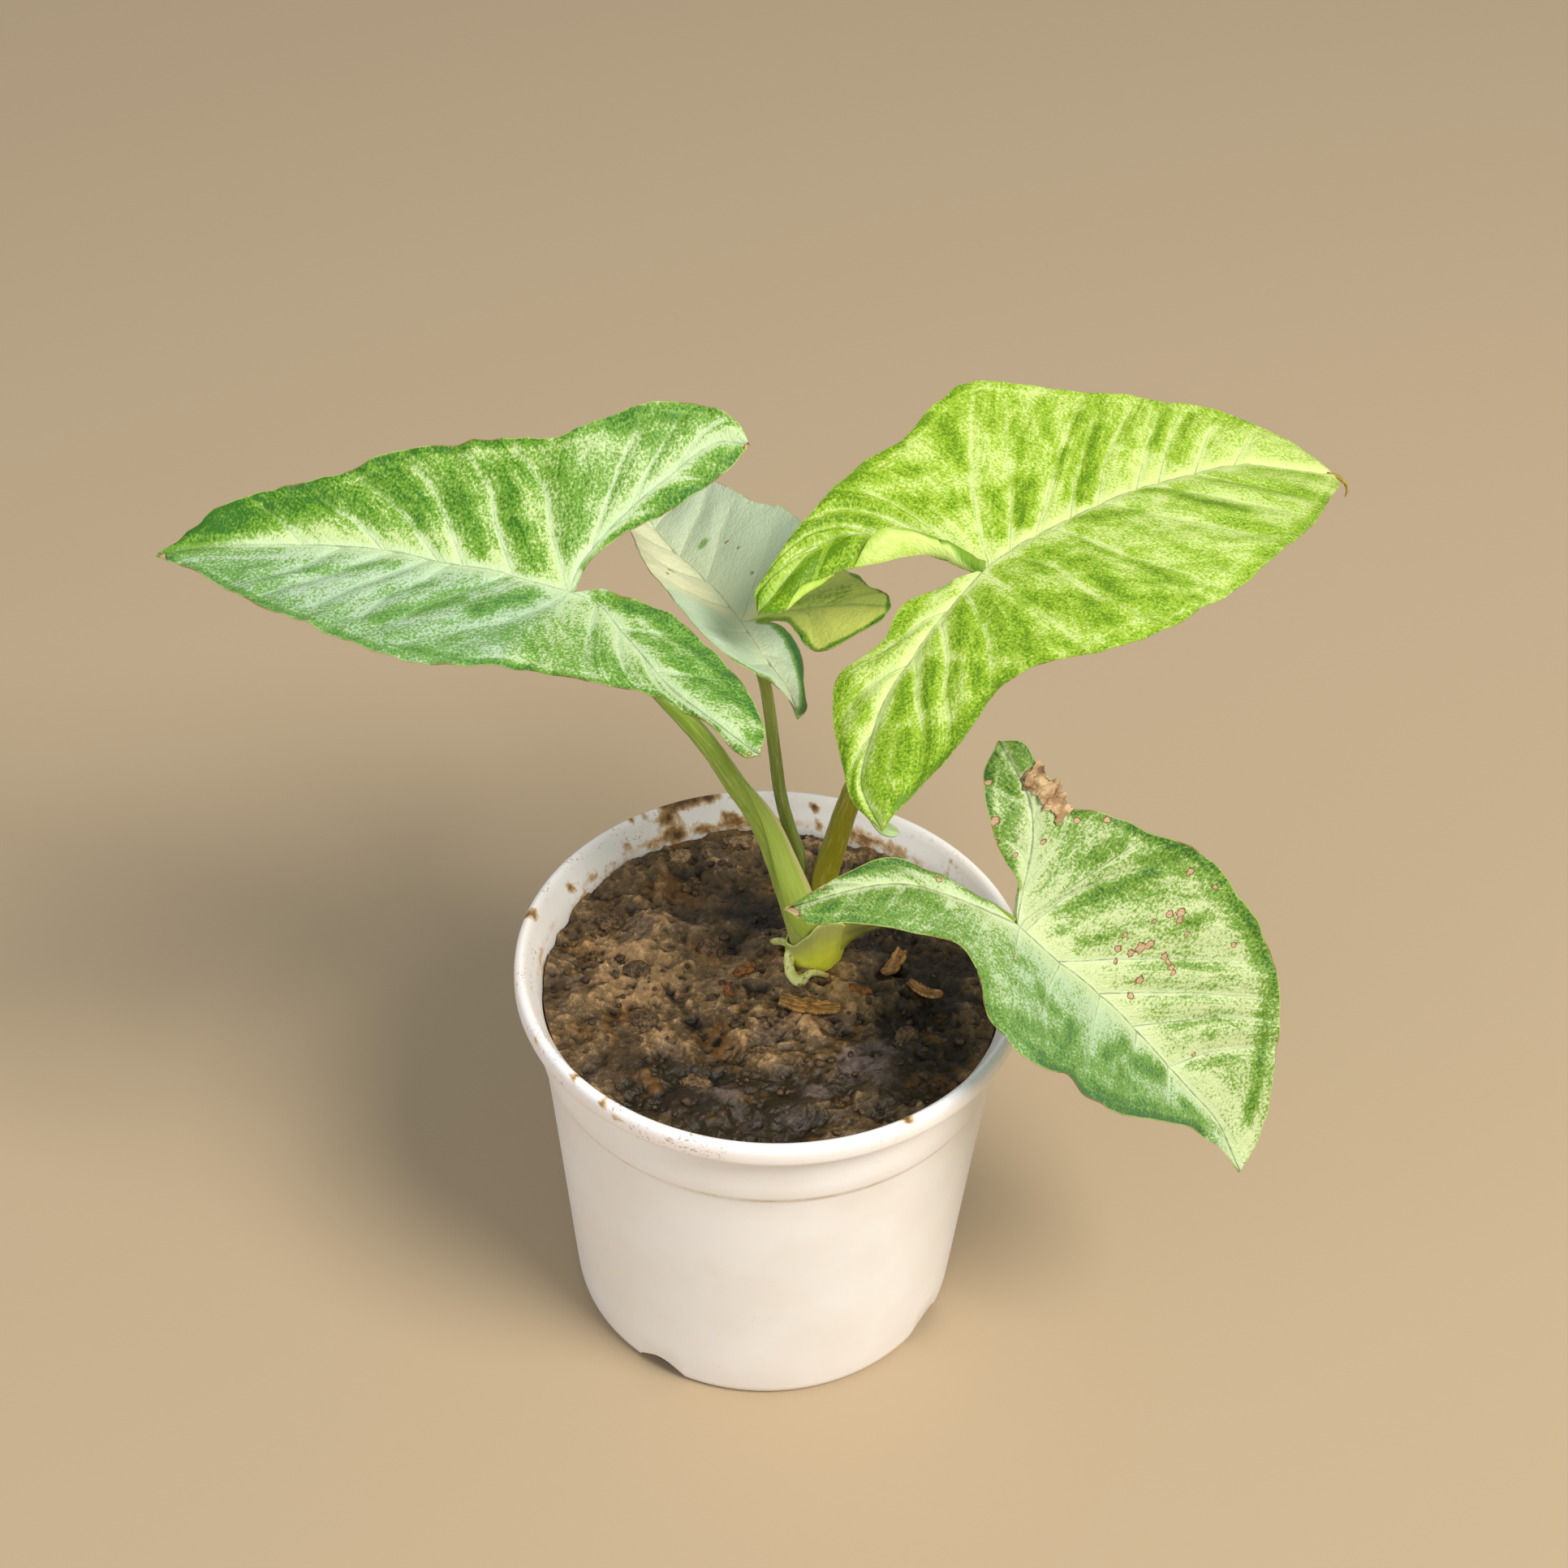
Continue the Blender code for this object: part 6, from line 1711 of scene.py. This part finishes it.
# %% [markdown]
# ## Roots
# One aerial root loops over the mud in front of the crown, and a stub shows beside it. They are
# pale green, knobbly, and muddy where they touch the soil.

# %% The aerial root and the stub


def on_mud(place, lift):
    x, y = np.array([place[0]]), np.array([place[1]])
    return (place[0], place[1], float(mud_height(x, y)[0]) + lift)


root_pale, tree, shader = new_material("root_pale", Roughness=0.42, IOR=1.40)
place = object_mm(tree)
muddy = grain(tree, place, 0.55, 4, 0.62)
pale_root = coats(
    tree, colour(0.90, 0.89, 0.58),
    (fade(tree, grain(tree, place, 0.25, 2), 0.4, 0.65), (0.76, 0.79, 0.42)),
    (fade(tree, muddy, 0.52, 0.66, 0, 0.8), (0.42, 0.33, 0.18)),
    (fade(tree, attribute(tree, "travel"), 0.75, 1.0, 0, 0.8), (0.62, 0.50, 0.28)))
tree.links.new(pale_root, shader.inputs["Base Color"])
bump(tree, shader, muddy, 0.5, 0.4)

loop = [(6.4, 8.0, 101.5), on_mud((4.5, 5.2), 1.9), on_mud((4.2, 2.4), 1.1),
        on_mud((5.0, -0.5), 1.0), on_mud((6.9, -2.0), 1.1), on_mud((8.9, -0.4), 1.2),
        on_mud((11.2, 0.9), 0.9), on_mud((13.8, 1.4), 0.3)]
root = tube("aerial_root_loop", loop, [1.3, 1.3, 1.25, 1.35, 1.45, 1.0, 0.8, 0.65], 90, 24, 0.0,
            0.16, 2.0)
hand_over(root, "root_pale", [root_pale], ["aerial_root"])
stub = tube("root_stub_end", [(6.0, 9.6, 101.0), on_mud((3.2, 9.8), 1.6), on_mud((0.6, 10.8), 1.0),
                              on_mud((-0.4, 11.3), 0.8)],
            [1.1, 1.0, 0.85, 0.45], 40, 22, 0.0, 0.18, 6.0)
hand_over(stub, "root_pale", [root_pale], ["root_stub"])

# %% [markdown]
# A hooked brown thread hangs from the lime leaf's tip, where the young leaf dried as it
# unrolled. It starts inside the tip, which the bent sheet gives, and hooks down.

# %% The dry thread at the lime leaf's tip
tip = bend(BLADES["leaf_blade_right"], np.array([[105.0, -2.6], [107.0, -3.4], [108.6, -4.6]]))
hook = [tuple(tip[0]), tuple(tip[1]), tuple(tip[2] + (0.2, -0.3, -1.0)),
        tuple(tip[2] + (1.0, -0.4, -3.0)), tuple(tip[2] + (0.8, -0.8, -4.6))]
thread_brown, tree, shader = new_material("thread_brown", Roughness=0.6)
dried = grain(tree, object_mm(tree), 1.2, 3)
tree.links.new(mix(tree, fade(tree, dried, 0.4, 0.6), colour(0.64, 0.60, 0.14),
                   colour(0.55, 0.42, 0.14)), shader.inputs["Base Color"])
thread = tube("leaf_tip_thread", hook, [0.45, 0.5, 0.4, 0.3, 0.12], 40, 12, 0.0, 0.2, 3.0)
hand_over(thread, "bark_brown", [thread_brown])

# %% [markdown]
# ## What lies on the soil
# Clods, chips and crumbs start as a fine ball, are pushed in and out by noise, flattened and
# turned, and then sunk a little into the mud. The clods are wet, so they shine more than crumbs.

# %% Lumps
# place x, y; half sizes; turn
CLODS = [((-33, 4), (3.8, 3.0, 1.7), 20), ((-41, 20), (3.2, 2.6, 1.5), 70),
         ((-30, -15), (3.4, 2.8, 1.7), 130), ((-2, -23), (3.6, 2.7, 1.5), 10),
         ((-17, -33), (3.2, 2.4, 1.3), 160), ((33, -16), (3.4, 2.8, 1.5), 45),
         ((-16, 12), (3.0, 2.4, 1.4), 95), ((-21, 36), (2.9, 2.3, 1.3), 35)]
CHIPS = [((-6.5, 3.5), (3.4, 1.7, 0.8), 35), ((-10.5, -2.5), (2.6, 1.4, 0.7), 110),
         ((21.5, -3.0), (3.2, 1.5, 0.7), -20)]
CRUMBS = [((-9, 49.5), (4.2, 2.2, 1.5), 12), ((17, 47.5), (3.6, 2.0, 1.4), -20),
          ((-24, 43), (2.8, 1.9, 1.2), 40)]


def lump(name, place, size, turn, roughness, sink, detail=5):
    clear_selection()
    x, y, z = on_mud(place, size[2] * (1 - 2 * sink))
    bpy.ops.mesh.primitive_ico_sphere_add(subdivisions=detail, radius=MM,
                                          location=in_frame((x, y, z)))
    ball = bpy.context.object
    ball.name = ball.data.name = name
    for corner in ball.data.vertices:
        way = corner.co / MM
        push = noise.fractal(way * 1.1 + Vector((turn, 0, 0)), 0.8, 2.1, 5)
        corner.co *= 1 + roughness * push
    bpy.ops.transform.resize(value=size)
    ball.rotation_euler.z = math.radians(turn)
    ball.data.shade_smooth()
    return ball


def mineral(name, low, high, rough, scale=0.6, wet=0.0):
    material, tree, shader = new_material(name, IOR=1.38)
    place = object_mm(tree)
    coarse = grain(tree, place, scale, 4, 0.65)
    tiny = grain(tree, place, scale * 4, 4, 0.65)
    shown = coats(tree, colour(*low), (fade(tree, coarse, 0.36, 0.64), high),
                  (fade(tree, tiny, 0.46, 0.32, 0, 0.7), (0.10, 0.07, 0.05)))
    tree.links.new(shown, shader.inputs["Base Color"])
    tree.links.new(fade(tree, coarse, 0.35, 0.65, rough - wet, rough), shader.inputs["Roughness"])
    bump(tree, shader, plus(tree, coarse, tiny), 0.6, 0.4)
    return material


clod_brown = mineral("clod_brown", (0.22, 0.165, 0.11), (0.48, 0.37, 0.24), 0.36, wet=0.20)
chip_orange = mineral("chip_orange", (0.38, 0.23, 0.10), (0.64, 0.40, 0.16), 0.5, wet=0.15)
crumb_pale = mineral("crumb_pale", (0.42, 0.32, 0.21), (0.68, 0.55, 0.40), 0.7)
for key, kind, pieces, slot, finish, roughness, sink in (
        ("wet_clod", "soil_clod", CLODS, "clod_brown", clod_brown, 0.40, 0.52),
        ("bark_chip", "wood_chip", CHIPS, "chip_orange", chip_orange, 0.25, 0.30),
        ("dried_crumb", "dry_crumb", CRUMBS, "crumb_pale", crumb_pale, 0.32, 0.36)):
    for k, (place, size, turn) in enumerate(pieces, start=1):
        ball = lump(f"{key}_{k}", place, size, turn, roughness, sink)
        hand_over(ball, slot, [finish], [f"{kind}_{k}"])

# %% [markdown]
# Hundreds of small crumbs of mud lie about. Each is a coarse ball of eighty faces, pushed about
# by noise like the clods, and all are joined into one piece. A fixed seed keeps them in the same
# places, and none lies where the crown stands.

# %% Grit
GRIT_COUNT = 300
GRIT_REACH, CROWN_CLEARANCE = 53.5, 7
dice = np.random.default_rng(7)
grit = []
for k in range(GRIT_COUNT):
    out, angle = GRIT_REACH * math.sqrt(dice.random()), dice.uniform(0, 2 * math.pi)
    place = (out * math.cos(angle), out * math.sin(angle))
    if math.hypot(place[0] - CROWN[0], place[1] - CROWN[1]) < CROWN_CLEARANCE:
        continue
    size = 0.35 + 1.15 * dice.random() ** 2.5
    grit.append(lump(f"grain_{k}", place, (size, size * dice.uniform(0.6, 1), size * 0.6),
                     dice.uniform(0, 360), 0.3, 0.3, detail=2))
soil_grit = join("soil_grit", grit, 0.0001)
grit_brown = mineral("grit_brown", (0.18, 0.13, 0.09), (0.38, 0.29, 0.19), 0.40, wet=0.22)
hand_over(soil_grit, "clod_brown", [grit_brown])

# %% [markdown]
# A flake of bark lies in front of the crown and two dry scraps curl to its right. Each is a
# thin sheet with a ragged outline, bent up at its ends.

# %% Bark and scraps


def flake(name, place, length, width, curl, turn, ragged, node):
    """A thin curved scrap lying on the mud."""
    swing = math.radians(turn)
    u = np.linspace(-0.5, 0.5, 60)[:, None]
    v = np.linspace(-1, 1, 25)[None, :]
    half = width / 2 * (1 - 1.6 * np.abs(u) ** 2.2) + 0 * v
    rough = noise_at(np.stack([u * length + 0 * v, v * half, 0 * u * v], axis=-1), 1.7, 4, turn)
    half = half * (1 + ragged * rough * np.abs(v))
    x = place[0] + u * length * math.cos(swing) - v * half * math.sin(swing)
    y = place[1] + u * length * math.sin(swing) + v * half * math.cos(swing)
    base = mud_height(np.array([place[0]]), np.array([place[1]]))[0]
    z = base + 0.8 + curl * (4 * u * u + 0.45 * v * v) + 0.22 * rough
    sheet = grid_sheet(name, np.stack([x, y, z], axis=-1), travel=u + 0.5 + 0 * v,
                       fibre=np.stack([v * half, 0.3 * rough, u * length + 0 * v], axis=-1))
    thicken(sheet, 0.7)
    sheet.data.shade_smooth()
    hand_over(sheet, "bark_brown", [bark_brown], [node])


bark_brown, tree, shader = new_material("bark_brown", Roughness=0.38, IOR=1.4)
fibre = attribute(tree, "fibre", "Vector")
lines = grain(tree, stretched(tree, fibre, (1.0, 1.0, 0.12)), 1.6, 4, 0.65)
damp = grain(tree, object_mm(tree), 0.5, 4)
bark = coats(tree, colour(0.42, 0.28, 0.13),
             (fade(tree, lines, 0.36, 0.64), (0.74, 0.55, 0.30)),
             (fade(tree, damp, 0.52, 0.66, 0, 0.7), (0.26, 0.17, 0.10)))
tree.links.new(bark, shader.inputs["Base Color"])
bump(tree, shader, lines, 0.7, 0.4)
flake("bark_flake_wet", (9.5, -9.5), 15.0, 4.6, 0.9, -8, 0.35, "bark_flake")
flake("curled_scrap_1", (30.0, 7.5), 9.5, 3.4, 1.6, 62, 0.4, "leaf_scrap_1")
flake("curled_scrap_2", (37.5, -2.0), 9.0, 3.0, 1.4, -30, 0.4, "leaf_scrap_2")

# %% [markdown]
# One patch by the front leaf's notch has dried right through. It is papery and torn, so it
# gets a crumpled sheet of its own, laid on the blade. Where its crumple sinks, it is painted a
# darker brown: painted shade in the folds.

# %% The torn patch
blade = BLADES["leaf_blade_front"]
outer = smooth_line([(-20.7, 27.0), (-18.3, 27.3), (-15.6, 25.2), (-13.9, 26.9), (-11.0, 25.2),
                     (-7.2, 24.2)], 60)
inner = smooth_line([(-20.2, 23.6), (-18.3, 21.6), (-15.4, 22.3), (-13.0, 21.0), (-10.4, 21.1),
                     (-7.6, 20.0)], 60)
flat = half_sheet(inner, outer, 22)
plane = np.concatenate([flat, 0 * flat[..., :1]], axis=2)
crease = 1.3 * noise_at(plane, 3.2, 3, 8.0)
shape = flat + 0.7 * np.stack([noise_at(plane, 1.4, 2, 3.0), noise_at(plane, 1.4, 2, 5.0)], -1)
patch = grid_sheet("papery_patch", bend(blade, shape, 0.6 + crease), crease=crease, flat=plane)
thicken(patch, 0.25, offset=-1)
papery, tree, shader = new_material("papery_brown", Roughness=0.6)
flat = attribute(tree, "flat", "Vector")
stains = grain(tree, flat, 0.35, 4, 0.65)
painted_fold_shade = attribute(tree, "crease")
# the sunk folds of the crumple are painted darker: painted shade
dry_tone = coats(tree, colour(0.76, 0.64, 0.48),
                 (fade(tree, stains, 0.38, 0.62), (0.57, 0.43, 0.28)),
                 (fade(tree, painted_fold_shade, -0.1, -0.5, 0, 0.7), (0.36, 0.22, 0.10)))
tree.links.new(dry_tone, shader.inputs["Base Color"])
bump(tree, shader, grain(tree, flat, 1.6, 3, 0.6), 0.5, 0.3)
hand_over(patch, "bark_brown", [papery])
